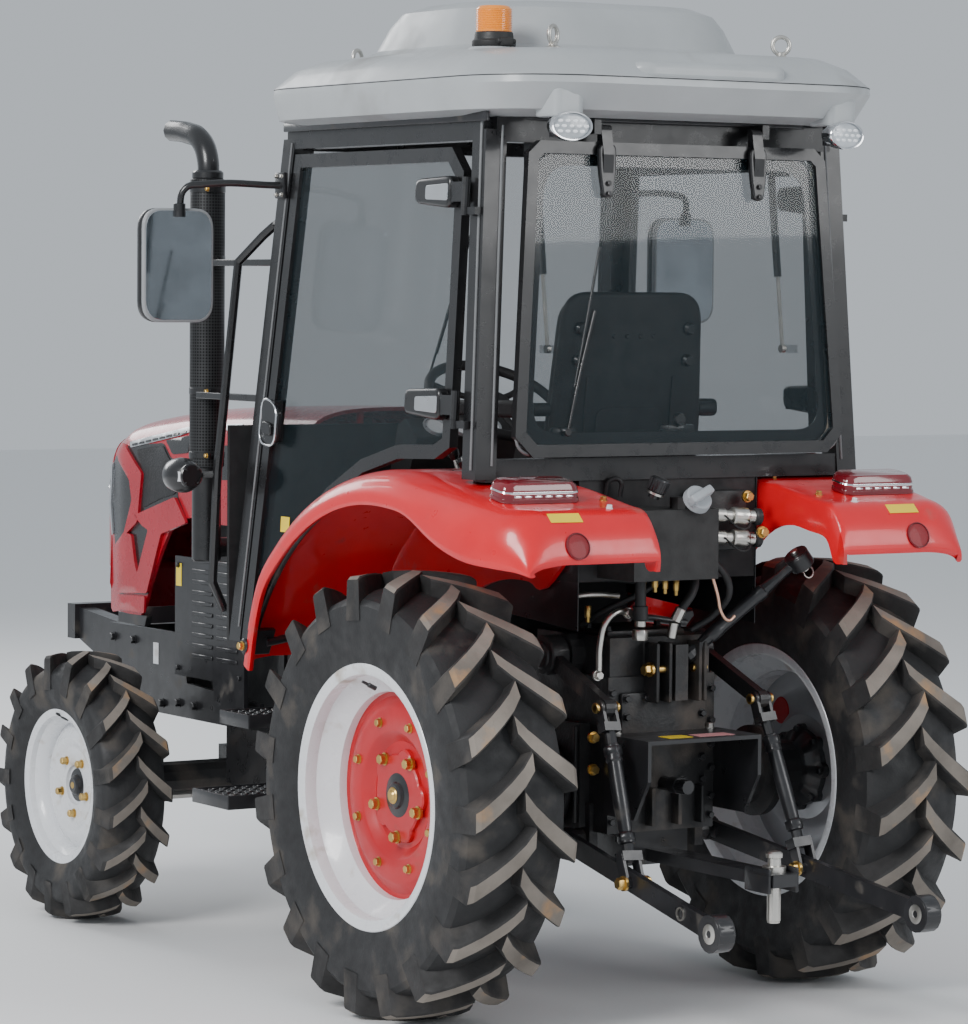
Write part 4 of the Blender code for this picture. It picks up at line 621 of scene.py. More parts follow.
drain = pipe([(-0.036, 1.2, 1.092), (-0.048, 1.204, 1.05), (-0.062, 1.206, 1.0), (-0.082, 1.206, 0.985),
    (-0.1, 1.204, 0.995)], 0.0042)
finish_piece(joined("drain_pipe", drain), "chassis", copper, "steel")
fitting_places = [(0.06, 1.09, 1.085), (0.03, 1.09, 1.08), (0.0, 1.095, 1.075), (0.085, 1.075, 1.095),
    (-0.06, 1.13, 1.12), (0.205, 1.01, 1.01)]
fittings = [rod((x, y, z - 0.022), (x, y, z + 0.008), 0.0085, 6, 0.001) for x, y, z in fitting_places]
fittings += [rod((x, y, z - 0.034), (x, y, z - 0.02), 0.0055, 12, 0.001) for x, y, z in fitting_places]
fittings.append(bolts("b", [(-0.185, 1.2, 1.2), (-0.19, 1.128, 1.285), (0.186, 1.01, 0.69),
    (0.186, 1.01, 0.61)], (0, 1, 0), 0.024))
finish_piece(joined("brass_fittings", *fittings), "chassis", brass, "steel")

# Quick couplers: two rows of plated steel couplers, each with a knurled sleeve and a black dust cap.
coupler_parts, dust_caps = [], []
for z in (1.245, 1.19):
    start, way = Vector((-0.042, 1.13, z)), Vector((-1.0, 0.16, -0.06)).normalized()
    coupler_parts.append(turned("coupler", start, way, [(r, 1.35 * h) for r, h in ((0.0, 0.0),
        (0.013, 0.0), (0.013, 0.03), (0.017, 0.032), (0.017, 0.052), (0.014, 0.054), (0.014, 0.066),
        (0.021, 0.068), (0.022, 0.072), (0.021, 0.076), (0.021, 0.086), (0.022, 0.09), (0.021, 0.098),
        (0.016, 0.102), (0.016, 0.112), (0.01, 0.113), (0.0, 0.113))], steps=28))
    dust_caps.append(turned("dust_cap", start + way * 0.1525, way, [(0.0, 0.02), (0.016, 0.02),
        (0.021, 0.016), (0.022, 0.004), (0.018, 0.0), (0.0, 0.0)], steps=24))
    dust_caps.append(pipe([start + way * 0.06 + Vector((0, 0.018, 0)), start + way * 0.085
        + Vector((0, 0.05, -0.03)), start + way * 0.12 + Vector((0, 0.035, -0.02)), start + way * 0.13],
        0.0022))
finish_piece(joined("couplers", *coupler_parts), "chassis", zinc, "steel")
finish_piece(joined("coupler_caps", *dust_caps), "chassis", hose_black, "plastic")

# Filler box: a folded black sheet box with a grey winged cap and a knurled black breather.
cap_grey = material("cap_grey", (0.36, 0.38, 0.4), 0.42, spread=0.08, grain=0.12, grain_scale=180)
cap_way = Vector((0, 0.8, 0.6)).normalized()
box_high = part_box("filler_box")[1]
cap_at = Vector((0.03, box_high.y - 0.004, box_high.z - 0.012))
sheet_black = material("sheet_black", (0.016, 0.016, 0.016), 0.58, spread=0.2, grain=0.18, grain_scale=200)
paint_nodes(sheet_black, "filler_box")
cap_body = turned("cap", cap_at, cap_way, [(0.0, 0.028), (0.03, 0.028), (0.034, 0.025), (0.036, 0.012),
    (0.036, 0.006), (0.03, 0.0), (0.0, 0.0)], steps=40)
wing = block((-0.04, -0.011, 0.016), (0.04, 0.011, 0.046), 0.006, 3)
wing.data.transform(Matrix.Translation(cap_at) @ cap_way.to_track_quat("Z", "Y").to_matrix().to_4x4()
    @ Matrix.Rotation(math.radians(25), 4, "Z"))
finish_piece(joined("filler_cap", cap_body, wing), "chassis", cap_grey, "plastic")
breather_at, breather_way = Vector((0.12, 1.165, 1.29)), Vector((-0.25, 0.3, 0.92)).normalized()
knurl = turned("knurl", breather_at, breather_way, [(0.0, 0.0), (0.014, 0.0), (0.014, 0.014),
    (0.022, 0.016), (0.024, 0.02), (0.024, 0.048), (0.021, 0.052), (0.0, 0.053)], steps=36)
ring_grips = [rod(p + breather_way * 0.02, p + breather_way * 0.048, 0.0022, 6, 0.0)
    for p in ring_of_places(breather_at, breather_way, 0.0238, 18)]
finish_piece(joined("breather", knurl, *ring_grips), "chassis", black_paint, "plastic")
seam = turned("breather_seat", breather_at, breather_way, [(0.0142, 0.01), (0.022, 0.01), (0.022, 0.0155),
    (0.0142, 0.0155)], steps=30)
finish_piece(seam, "chassis", zinc, "steel")


# ---------------------------------------------------------------- hitch
# Forged black links. The lift rods are threaded sleeves between forks, held by plated pins; the
# lower links end in balls, and the drawbar carries a plated pin.

pin_orange = material("pin_orange", (0.46, 0.17, 0.1), 0.45, metal=0.6, spread=0.3, grain=0.2)
for name, side in SIDES.items():
    tip = Vector((side * 0.232, REAR_Y + 0.317, 0.778))
    low = Vector((side * 0.259, REAR_Y + 0.481, 0.371))
    way = (low - tip).normalized()
    sleeve = turned(f"lift_sleeve_{name}", tip, way, [(0.0, 0.095), (0.014, 0.095), (0.02, 0.098),
        (0.02, 0.128), (0.0215, 0.135), (0.0185, 0.14), (0.019, 0.24), (0.0175, 0.31), (0.0165, 0.315),
        (0.02, 0.32), (0.02, 0.342), (0.014, 0.345), (0.0, 0.345)], steps=28)
    nuts = [rod(tip + way * 0.1, tip + way * 0.122, 0.0235, 6), rod(tip + way * 0.318, tip + way * 0.338,
        0.0235, 6)]
    forks = []
    for flip in (1, -1):
        x = tip.x + flip * 0.0178
        forks.append(rod((x - 0.0045, tip.y, tip.z), (x + 0.0045, tip.y, tip.z), 0.019, 24))
    finish_piece(joined(f"lift_sleeve_{name}", sleeve, *nuts, *forks), f"lift_rod_{name}", black_paint,
        "black")
    pin = rod(tip + Vector((-0.034, 0, 0)), tip + Vector((0.034, 0, 0)), 0.009)
    collars = [rod(tip + Vector((x - 0.004, 0, 0)), tip + Vector((x + 0.004, 0, 0)), 0.0135)
        for x in (-0.03, 0.03)]
    low_pin = bolts("b", [low + Vector((side * 0.028, 0, 0))], (side, 0, 0), 0.03)
    low_back = bolts("b", [low + Vector((side * -0.028, 0, 0))], (-side, 0, 0), 0.03)
    finish_piece(joined(f"lift_pins_{name}", *collars, low_pin, low_back), f"lift_rod_{name}", brass,
        "steel")
    finish_piece(joined(f"lift_tip_pin_{name}", pin), f"lift_rod_{name}", pin_orange if side > 0
        else zinc, "steel")
    end = Vector((side * 0.303, REAR_Y + 0.89, 0.309))
    eye = turned(f"link_eye_{name}", end, (side, 0, 0), [(0.024, -0.0225), (0.04, -0.0225),
        (0.0445, -0.018), (0.0452, 0.0), (0.0445, 0.018), (0.04, 0.0225), (0.026, 0.0225), (0.024, 0.02)],
        steps=48)
    slope = Vector((side * 0.083 / 0.77, 1.0, -0.121 / 0.77)).normalized()
    start = Vector((side * 0.22, REAR_Y + 0.12, 0.43))
    seat = turned("seat", start + slope * 0.03, slope, [(0.0, -0.012), (0.016, -0.012), (0.019, -0.006),
        (0.019, 0.006), (0.016, 0.012), (0.0, 0.012)], steps=20)
    pin_head = bolts("b", [start + Vector((side * 0.017, 0, 0))], (side, 0, 0), 0.032)
    finish_piece(joined(f"link_eye_{name}", eye, seat, pin_head), f"lower_link_{name}", black_paint,
        "black")
    ball = turned(f"link_ball_{name}", end, (side, 0, 0), [(0.01, -0.0245), (0.019, -0.024),
        (0.0238, -0.023), (0.0238, 0.023), (0.019, 0.024), (0.01, 0.0245), (0.009, 0.023),
        (0.009, -0.023)], steps=40)
    finish_piece(ball, f"lower_link_{name}", zinc, "steel")
    clip = turned(f"link_clip_{name}", start.lerp(end, 0.8) + Vector((side * 0.0105, 0, 0.0)),
        (side, 0, 0), [(0.013, -0.0005), (0.0165, -0.0005), (0.0165, 0.0035), (0.013, 0.0035)], steps=28)
    finish_piece(clip, f"lower_link_{name}", zinc, "steel")

ball_at = Vector((-0.06, REAR_Y + 0.25, 0.891))
stow_way = Vector((-0.75, 0.215, 0.625)).normalized()
sleeve = turned("top_link_sleeve", ball_at, stow_way, [(0.0, 0.062), (0.015, 0.062), (0.0192, 0.07),
    (0.0192, 0.1), (0.0172, 0.104), (0.0172, 0.225), (0.0192, 0.229), (0.0192, 0.248), (0.015, 0.252),
    (0.0, 0.252)], steps=28)
far = ball_at + stow_way * 0.372
side_way = stow_way.cross(Vector((0, 1, 0))).normalized()
head = turned("top_link_head", far, side_way, [(0.012, -0.0212), (0.028, -0.0212), (0.0325, -0.017),
    (0.0325, 0.017), (0.028, 0.0212), (0.012, 0.0212)], steps=36)
finish_piece(joined("top_link_sleeve", sleeve, head), "top_link", black_paint, "black")
ringed = joined("top_link_ringed_pin", rod(far - side_way * 0.03, far + side_way * 0.034, 0.01, 16),
    turned("ring", far + side_way * 0.04 + Vector((0, 0.004, 0)), (0, 1, 0.2),
    [(0.0135, -0.0014), (0.0165, -0.0014), (0.0165, 0.0014), (0.0135, 0.0014)], steps=28))
finish_piece(ringed, "top_link", zinc, "steel")

pin_y = REAR_Y + 0.7
hitch_pin = turned("drawbar_pin", (0, pin_y, 0), (0, 0, 1), [(0.0152, 0.406), (0.0285, 0.406),
    (0.029, 0.4215), (0.0165, 0.423), (0.0158, 0.44), (0.02, 0.442), (0.0205, 0.452), (0.016, 0.4562),
    (0.0, 0.4566), (0.0, 0.4552), (0.0152, 0.4552)], steps=32)
pin_foot = turned("pin_foot", (0, pin_y, 0), (0, 0, 1), [(0.0152, 0.374), (0.0166, 0.374), (0.0166, 0.29),
    (0.013, 0.2838), (0.0, 0.2838), (0.0, 0.2846), (0.0152, 0.2846)], steps=32)
finish_piece(joined("drawbar_pin", hitch_pin, pin_foot), "chassis", zinc, "steel")
clevis = joined("drawbar_clevis", block((-0.046, pin_y - 0.05, 0.4055), (0.046, pin_y + 0.044, 0.4065),
    0.0), block((-0.045, pin_y - 0.06, 0.36), (-0.036, pin_y + 0.04, 0.42), 0.003),
    block((0.036, pin_y - 0.06, 0.36), (0.045, pin_y + 0.04, 0.42), 0.003), block((-0.075, 0.86, 0.352),
    (0.075, 0.88, 0.404), 0.004))
finish_piece(clevis, "chassis", black_paint, "black")

sticker_yellow = material("sticker_yellow", (0.9, 0.66, 0.03), 0.38, spread=0.05, grain=0.03)
sticker_pink = material("sticker_pink", (0.72, 0.33, 0.34), 0.42, spread=0.12, grain=0.03)
guard_low, guard_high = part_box("pto_guard")
top_z = guard_high.z
finish_piece(block((0.015, guard_high.y - 0.08, top_z + 0.0002),
    (0.085, guard_high.y - 0.03, top_z + 0.001), 0, name="guard_sticker_yellow"), "chassis",
    sticker_yellow, "plastic")
finish_piece(block((-0.11, guard_high.y - 0.078, top_z + 0.0002),
    (-0.005, guard_high.y - 0.028, top_z + 0.001), 0, name="guard_sticker_pink"), "chassis", sticker_pink,
    "plastic")
guard_bolts = bolts("guard_bolts", [(x, guard_low.y + 0.01, top_z + 0.001) for x in (-0.14, 0.14)],
    (0, 0, 1), 0.02)
finish_piece(guard_bolts, "chassis", zinc, "steel")
splines = turned("pto_collar", (0, 1.12, PTO_Z), (0, 1, 0), [(0.0172, -0.03), (0.0205, -0.03),
    (0.0205, 0.0), (0.0172, 0.0)], steps=30)
finish_piece(joined("pto_collar", splines, *[rod((p.x, 1.085, p.z), (p.x, 1.156, p.z), 0.0026, 6, 0)
    for p in ring_of_places((0, 1.12, PTO_Z), (0, 1, 0), 0.0165, 6)]), "pto_shaft", black_paint, "steel")
paint_nodes(black_paint, "pto_shaft")


# ---------------------------------------------------------------- fenders
# Pressed red shells with a rolled lip, a black strap at the front foot, screws and reflectors on
# the tail, tail lamps with a dark red lens and a chrome band, and black plates just inboard of
# the inner walls, which make those walls look dark.

def smooth_line(points, steps):
    """Points along a smooth curve through the given points."""
    points = [Vector(p) for p in points]
    padded = [2 * points[0] - points[1], *points, 2 * points[-1] - points[-2]]
    made = []
    for a, b, c, d in zip(padded, padded[1:], padded[2:], padded[3:]):
        for k in range(steps):
            t = k / steps
            made.append(0.5 * (2 * b + t * (c - a) + t * t * (2 * a - 5 * b + 4 * c - d) + t ** 3
                * (3 * b - a - 3 * c + d)))
    return made + [points[-1]]


def eased(piece, width, segments=3, angle=30):
    """Round the sharp edges of a piece."""
    edges = piece.modifiers.new("round", "BEVEL")
    edges.width = width
    edges.segments = segments
    edges.limit_method = "ANGLE"
    edges.angle_limit = math.radians(angle)
    bpy.context.view_layer.objects.active = piece
    bpy.ops.object.modifier_apply(modifier="round")
    soften(piece, 40)
    return piece


def plate(name, outline, reach, bevel=0.002, segments=2):
    """Flat plate: an outline of 3-D points carried along a vector, with its edges rounded."""
    first = [Vector(p) for p in outline]
    second = [p + Vector(reach) for p in first]
    made = lofted(name, [first, second], 30)
    return eased(made, bevel, segments, 50) if bevel else made


def round_corners(outline, radius, steps=5):
    """Outline of 2-D points with its corners rounded."""
    made = []
    for before, corner, after in zip(outline[-1:] + outline[:-1], outline, outline[1:] + outline[:1]):
        before, corner, after = Vector(before), Vector(corner), Vector(after)
        reach = min(radius, (before - corner).length * 0.45, (after - corner).length * 0.45)
        start, end = corner + (before - corner).normalized() * reach, corner + (after
            - corner).normalized() * reach
        for k in range(steps + 1):
            t = k / steps
            made.append(tuple((1 - t) ** 2 * start + 2 * t * (1 - t) * corner + t * t * end))
    return made


body_red = material("body_red", (0.72, 0.004, 0.012), 0.34, coat=0.45, spread=0.05, grain=0.03,
    grain_scale=350, dirt=(0.34, 0.1, 0.08), dirt_amount=0.04, dirt_scale=9)
hood_red = material("hood_red", (0.42, 0.006, 0.018), 0.28, coat=0.6, spread=0.08, grain=0.0)
lens_red = material("lens_red", (0.16, 0.004, 0.01), 0.1, coat=1.0, spread=0.25, grain=0.05,
    grain_scale=500)
reflector_red = material("reflector_red", (0.26, 0.004, 0.01), 0.4, coat=0.15, spread=0.15, grain=0.8,
    grain_scale=420)
chrome = material("chrome", (0.82, 0.83, 0.85), 0.1, metal=1.0, spread=0.05, grain=0.02)


def around(radius, degrees):
    turn = math.radians(degrees)
    return REAR_Y + radius * math.cos(turn), AXLE_Z + radius * math.sin(turn)


def deck_height(y):
    return AXLE_Z + 0.763 - 0.176 * (y - REAR_Y - 0.3)


stations = []
for turn in (157, 148, 139, 130, 121, 112, 103, 94, 85, 77):
    pinch = 0.055 * max(turn - 139, 0) / 18
    stations.append((around(0.8 - pinch, turn), around(0.72 - pinch, turn), around(0.52, turn), 0.0))
for back, lip_y, lip_z, wall_y, wall_z, tuck in ((0.3, 0.28, 1.2, 0.275, 1.185, 0.0),
        (0.4, 0.36, 1.172, 0.375, 1.215, 0.003), (0.48, 0.43, 1.155, 0.46, 1.205, 0.014),
        (0.54, 0.505, 1.147, 0.528, 1.19, 0.034)):
    stations.append(((REAR_Y + back, deck_height(REAR_Y + back)), (REAR_Y + lip_y, lip_z),
        (REAR_Y + wall_y, wall_z), tuck))
stations.append(((REAR_Y + 0.578, 1.234), (REAR_Y + 0.56, 1.141), (REAR_Y + 0.56, 1.135), 0.058))
stations.append(((REAR_Y + 0.598, 1.19), (REAR_Y + 0.592, 1.134), (REAR_Y + 0.592, 1.131), 0.07))
stations.append(((REAR_Y + 0.603, 1.16), (REAR_Y + 0.6, 1.13), (REAR_Y + 0.6, 1.13), 0.078))
fine = smooth_line([(*top, *lip, *wall, tuck) for top, lip, wall, tuck in stations], 4)
for name, side in SIDES.items():
    rings = []
    for values in fine:
        top, lip, wall, tuck = Vector(values[0:2]), Vector(values[2:4]), Vector(values[4:6]), values[6]
        inward = (Vector((REAR_Y, AXLE_Z)) - top).normalized() * 0.01
        out_x = 0.7185 - tuck
        skin = [(0.272, wall), (0.272, top.lerp(wall, 0.1)), (0.278, top.lerp(wall, 0.02)), (0.292, top)]
        edge = smooth_line([(out_x - 0.14, *top), (out_x - 0.088, *top.lerp(lip, 0.01)),
            (out_x - 0.036, *top.lerp(lip, 0.2)), (out_x - 0.006, *top.lerp(lip, 0.58)), (out_x, *lip)],
            4)
        skin += [(p[0], Vector(p[1:])) for p in edge]
        lip_in = (lip - top).normalized() * 0.004
        under = [(out_x - 0.003, lip + lip_in), (out_x - 0.012, lip + lip_in), (out_x - 0.017, lip)]
        under += [(p[0] - 0.011, Vector(p[1:]) + inward) for p in reversed(edge[:-2])]
        under += [(0.292, top + inward), (0.284, top.lerp(wall, 0.06) + inward * 0.5), (0.284, wall)]
        rings.append([(side * x, p.x, p.y) for x, p in skin + under])
    shell = lofted(f"fender_{name}_skin", rings, 50)
    finish_piece(shell, "chassis", body_red, "red", f"fender_{name}")

    strap = plate("strap", [(side * 0.64, *around(0.7165, 155)), (side * 0.64, *around(0.7165, 149)),
        (side * 0.716, *around(0.7165, 149)), (side * 0.716, *around(0.7165, 155))],
        Vector((0, *(Vector(around(0.015, 152)) - Vector((REAR_Y, AXLE_Z))) * -1)), 0.003)
    brace = pipe([(side * 0.33, REAR_Y - 0.5, 0.86), (side * 0.48, REAR_Y - 0.61, 0.9),
        (side * 0.66, *around(0.7, 152))], 0.011)
    stay = pipe([(side * 0.672, *around(0.748, turn)) for turn in (154, 146, 138, 130, 122, 114)], 0.011)
    washer = turned("washer", (side * 0.72, *around(0.708, 153)), (side, 0, 0),
        [(0.0, 0.003), (0.017, 0.003), (0.019, 0.0), (0.019, -0.01), (0.0, -0.01)], steps=30)
    finish_piece(joined(f"fender_strap_{name}", strap, brace, stay, washer), "chassis", black_paint,
        "black")
    bolt = bolts("b", [Vector((side * 0.723, *around(0.708, 153)))], (side, 0, 0), 0.02)
    deck_bolt = bolts("b", [(side * 0.322, REAR_Y + 0.43, deck_height(REAR_Y + 0.43)),
        (side * 0.33, REAR_Y + 0.23, 1.322)], (0, 0.17, 1), 0.016)
    finish_piece(joined(f"fender_bolts_{name}", bolt, deck_bolt), "chassis", brass, "steel")

    # The tail: a round reflector in a dark ring, a yellow sticker and a pale screw, set on the skin.
    bpy.context.view_layer.update()

    def on_skin(x, y, z, way):
        hit, place, normal, _ = shell.ray_cast(Vector((x, y, z)) - Vector(way), Vector(way))
        return place, normal

    seat, slope = on_skin(side * 0.505, REAR_Y + 0.6, 1.196, (0, -0.5, 0))
    rim = turned(f"reflector_rim_{name}", seat, slope, [(0.03, -0.006), (0.033, -0.006), (0.033, 0.0042),
        (0.0305, 0.0052), (0.03, 0.004)], steps=36)
    finish_piece(rim, "chassis", lens_red, "lamp_red")
    lens = turned(f"reflector_{name}", seat, slope, [(0.0, 0.0048), (0.022, 0.0044), (0.0295, 0.003),
        (0.03, -0.006), (0.0, -0.006)], steps=36)
    finish_piece(lens, "chassis", reflector_red, "lamp_red")
    corners = [on_skin(side * 0.5 + a, REAR_Y + b, 1.25, (0, 0, -0.5)) for a, b in ((-0.03, 0.545),
        (0.06, 0.545), (0.06, 0.566), (-0.03, 0.566))]
    finish_piece(plate(f"fender_sticker_{name}", [p + n * 0.0012 for p, n in corners],
        (0, 0.0001, 0.0006), 0), "chassis", sticker_yellow, "plastic")
    spot, way = on_skin(side * 0.365, REAR_Y + 0.52, 1.25, (0, 0, -0.5))
    screw = bolts(f"fender_screw_{name}", [spot], way, 0.014)
    finish_piece(screw, "chassis", white_paint, "plastic")

    # Tail lamp: a dark red base and lens, a chrome band between them and a row of bright bars.
    lamp_low, lamp_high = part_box(f"tail_lamp_{name}")
    tall = lamp_high.z - lamp_low.z
    outline = round_corners([(lamp_low.x + 0.002, lamp_low.y + 0.002),
        (lamp_high.x - 0.002, lamp_low.y + 0.002), (lamp_high.x - 0.002, lamp_high.y - 0.002),
        (lamp_low.x + 0.002, lamp_high.y - 0.002)], 0.03, 6)
    middle = Vector(((lamp_low.x + lamp_high.x) / 2, (lamp_low.y + lamp_high.y) / 2))

    def lamp_ring(scale, rise):
        ring = []
        for x, y in outline:
            x, y = middle.x + (x - middle.x) * scale, middle.y + (y - middle.y) * (scale * 1.02 - 0.02)
            ring.append((x, y, deck_height(y) + 0.001 + rise))
        return ring

    base = lofted("lamp_base", [lamp_ring(0.99, 0.0), lamp_ring(1.0, 0.004), lamp_ring(0.985, 0.01)])
    band = lofted("lamp_band", [lamp_ring(0.972, 0.021), lamp_ring(0.985, 0.023), lamp_ring(0.972, 0.027)])
    finish_piece(base, "chassis", lens_red, "lamp_red")
    finish_piece(joined(f"tail_lamp_chrome_{name}", band), "chassis", chrome, "steel")
    rise = tall - 0.016
    lens = lofted(f"tail_lamp_{name}", [lamp_ring(0.96, 0.004), lamp_ring(0.968, rise * 0.6),
        lamp_ring(0.93, rise * 0.85), lamp_ring(0.84, rise)])
    finish_piece(lens, "chassis", lens_red, "lamp_red", f"tail_lamp_{name}")
    bars = [block((middle.x - 0.085 + 0.029 * k, lamp_high.y - 0.0062, 1.303),
        (middle.x - 0.064 + 0.029 * k, lamp_high.y - 0.0028, 1.308), 0.001) for k in range(6)]
    finish_piece(joined(f"tail_lamp_bars_{name}", *bars), "chassis", chrome, "steel")

# Black plates just inboard of the fenders' inner walls, over their front half, which make those walls look
# dark.
dark_plates = [plate("fender_dark_plate", [(side * 0.266, a, b) for a, b in ((0.48, 1.0), (1.06, 0.96),
    (1.062, 1.33), (0.48, 1.33))], (side * 0.0025, 0, 0), 0.0008) for side in (1, -1)]
finish_piece(joined("fender_dark_plates", *dark_plates), "chassis", black_paint, "black")


# ---------------------------------------------------------------- roof, beacon and work lamps
# Pale grey moulded shell with a rim band, an upper step and the raised duct dome, all with soft
# edges. It carries lifting eye-bolts, the amber beacon on a pad and two oval work lamps.

def round_plan(half, front, back, radius, back_radius, steps=7):
    """Plan outline with round corners."""
    corners = [(half - radius, front + radius, radius, -90), (half - back_radius, back - back_radius,
        back_radius, 0), (back_radius - half, back - back_radius, back_radius, 90),
        (radius - half, front + radius, radius, 180)]
    return [(x + r * math.cos(math.radians(start + 90 * k / steps)), y + r
        * math.sin(math.radians(start + 90 * k / steps))) for x, y, r, start in corners
        for k in range(steps + 1)]


roof_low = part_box("roof")[0]
LAMP_X = 0.407
roof_grey = material("roof_grey", (0.4, 0.42, 0.43), 0.36, coat=0.15, spread=0.05, grain=0.08,
    grain_scale=260, dirt=(0.3, 0.3, 0.3), dirt_amount=0.05, dirt_scale=3)
front, back = REAR_Y - 0.85, REAR_Y + 0.44
levels = [(0.5, front + 0.1, back - 0.18, 0.006), (0.54, front + 0.06, back - 0.13, 0.0),
    (0.578, front + 0.012, back - 0.06, 0.016), (0.59, front + 0.004, back - 0.012, 0.078),
    (0.588, front + 0.006, back - 0.014, 0.098), (0.55, front + 0.05, back - 0.055, 0.142),
    (0.5, front + 0.1, back - 0.095, 0.166), (0.432, front + 0.21, back - 0.33, 0.178),
    (0.415, front + 0.235, back - 0.352, 0.19), (0.392, front + 0.262, back - 0.376, 0.25),
    (0.372, front + 0.29, back - 0.405, 0.285), (0.33, front + 0.34, back - 0.45, 0.303),
    (0.24, front + 0.43, back - 0.54, 0.3105)]
shell = lofted("roof_shell", [[(x, y, roof_low.z + rise) for x, y in round_plan(half, start, end,
    min(0.17, half * 0.5), min(0.24, half * 0.6))] for half, start, end, rise in levels], 28)
brow = plate("brow", [(x, y, roof_low.z + 0.088) for x, y in round_corners([(-0.25, back - 0.12),
    (0.25, back - 0.12), (0.215, back - 0.012), (-0.215, back - 0.012)], 0.04)], (0, 0, 0.048), 0.018, 4)
beacon_at = Vector((0.425, REAR_Y + 0.085, roof_low.z + 0.15))
pad = turned("pad", beacon_at, (0, 0, 1), [(0.0, 0.024), (0.058, 0.024), (0.066, 0.018), (0.07, 0.0),
    (0.0, 0.0)], steps=40)
bosses = []
for side in (1, -1):
    x, y = side * LAMP_X, REAR_Y + 0.371
    bosses.append(plate("boss",
        [(x + a, y + b, roof_low.z - 0.004) for a, b in round_corners([(-0.05, -0.06), (0.05, -0.06),
        (0.042, 0.03), (-0.042, 0.03)], 0.02)], (0, 0, 0.07), 0.008))
eye_seats = [turned("eye_seat", (side * 0.342, y, z - 0.028), (0, 0, 1), [(0.0, 0.014), (0.03, 0.014),
    (0.036, 0.008), (0.038, 0.0), (0.0, 0.0)], steps=30) for side in (1, -1)
    for y, z in ((REAR_Y + 0.223, 2.392), (REAR_Y - 0.714, 2.375))]
finish_piece(joined("roof", shell, brow, pad, *bosses, *eye_seats), "chassis", roof_grey, "roof_grey",
    "roof")
lining = [plate("lining",
    [(x, y, roof_low.z + 0.004) for x, y in round_plan(0.49, front + 0.11, back - 0.19, 0.12, 0.16)],
    (0, 0, -0.01), 0.003)]
drips = [block((side * 0.538 - 0.006, front + 0.1, roof_low.z - 0.012), (side * 0.538 + 0.006, back - 0.2,
    roof_low.z + 0.012), 0.003) for side in (1, -1)]
finish_piece(joined("roof_lining", *lining, *drips), "chassis", black_paint, "black")
seam_parts = [pipe([(x, y, roof_low.z + 0.0955) for x, y in round_plan(0.5885, front + 0.005, back
    - 0.013, 0.17, 0.24)], 0.0012, "roof_seam", 1, False)]
finish_piece(joined("roof_seam", *seam_parts), "chassis", sheet_black, "black")

eyes = []
for side in (1, -1):
    for y, z in ((REAR_Y + 0.223, 2.4), (REAR_Y - 0.714, 2.383)):
        bpy.ops.mesh.primitive_torus_add(location=(side * 0.342, y, z + 0.012),
            rotation=(math.pi / 2, 0, 0.5 * side), major_radius=0.0215, minor_radius=0.0055,
            major_segments=32, minor_segments=10)
        ring = bpy.context.object
        bpy.ops.object.transform_apply(location=True, rotation=True, scale=True)
        soften(ring, 60)
        eyes += [ring, turned("eye_foot", (side * 0.342, y, z - 0.024), (0, 0, 1),
            [(0.0, 0.018), (0.009, 0.018), (0.012, 0.01), (0.019, 0.006), (0.019, 0.0), (0.0, 0.0)],
            steps=24)]
finish_piece(joined("eye_bolts", *eyes), "chassis", zinc, "steel")

amber = material("amber_lens", (0.9, 0.27, 0.01), 0.16, coat=1.0, spread=0.1, grain=0.05)
foot = beacon_at + Vector((0, 0, 0.025))
base = turned("beacon_base", foot, (0, 0, 1), [(0.0, 0.0), (0.052, 0.0), (0.054, 0.004), (0.054, 0.014),
    (0.049, 0.018), (0.047, 0.034), (0.044, 0.037), (0.0, 0.037)], steps=48)
hinge_lug = block((foot.x - 0.018, foot.y + 0.04, foot.z),
    (foot.x + 0.018, foot.y + 0.064, foot.z + 0.02), 0.005)
hinge_rod = rod((foot.x - 0.026, foot.y + 0.056, foot.z + 0.012), (foot.x + 0.026, foot.y + 0.056, foot.z
    + 0.012), 0.006)
finish_piece(joined("beacon_base", base, hinge_lug, hinge_rod), "chassis", sheet_black, "black")
profile = [(0.0, 0.036), (0.0445, 0.036)]
for k in range(12):
    z = 0.04 + 0.0042 * k
    profile += [(0.0452, z), (0.0438, z + 0.0016), (0.0438, z + 0.0028)]
profile += [(0.045, 0.0905), (0.044, 0.0925), (0.038, 0.0985), (0.0365, 0.0995), (0.0, 0.1)]
finish_piece(turned("beacon", foot, (0, 0, 1), profile, steps=56, angle=25), "chassis", amber, "amber",
    "beacon")

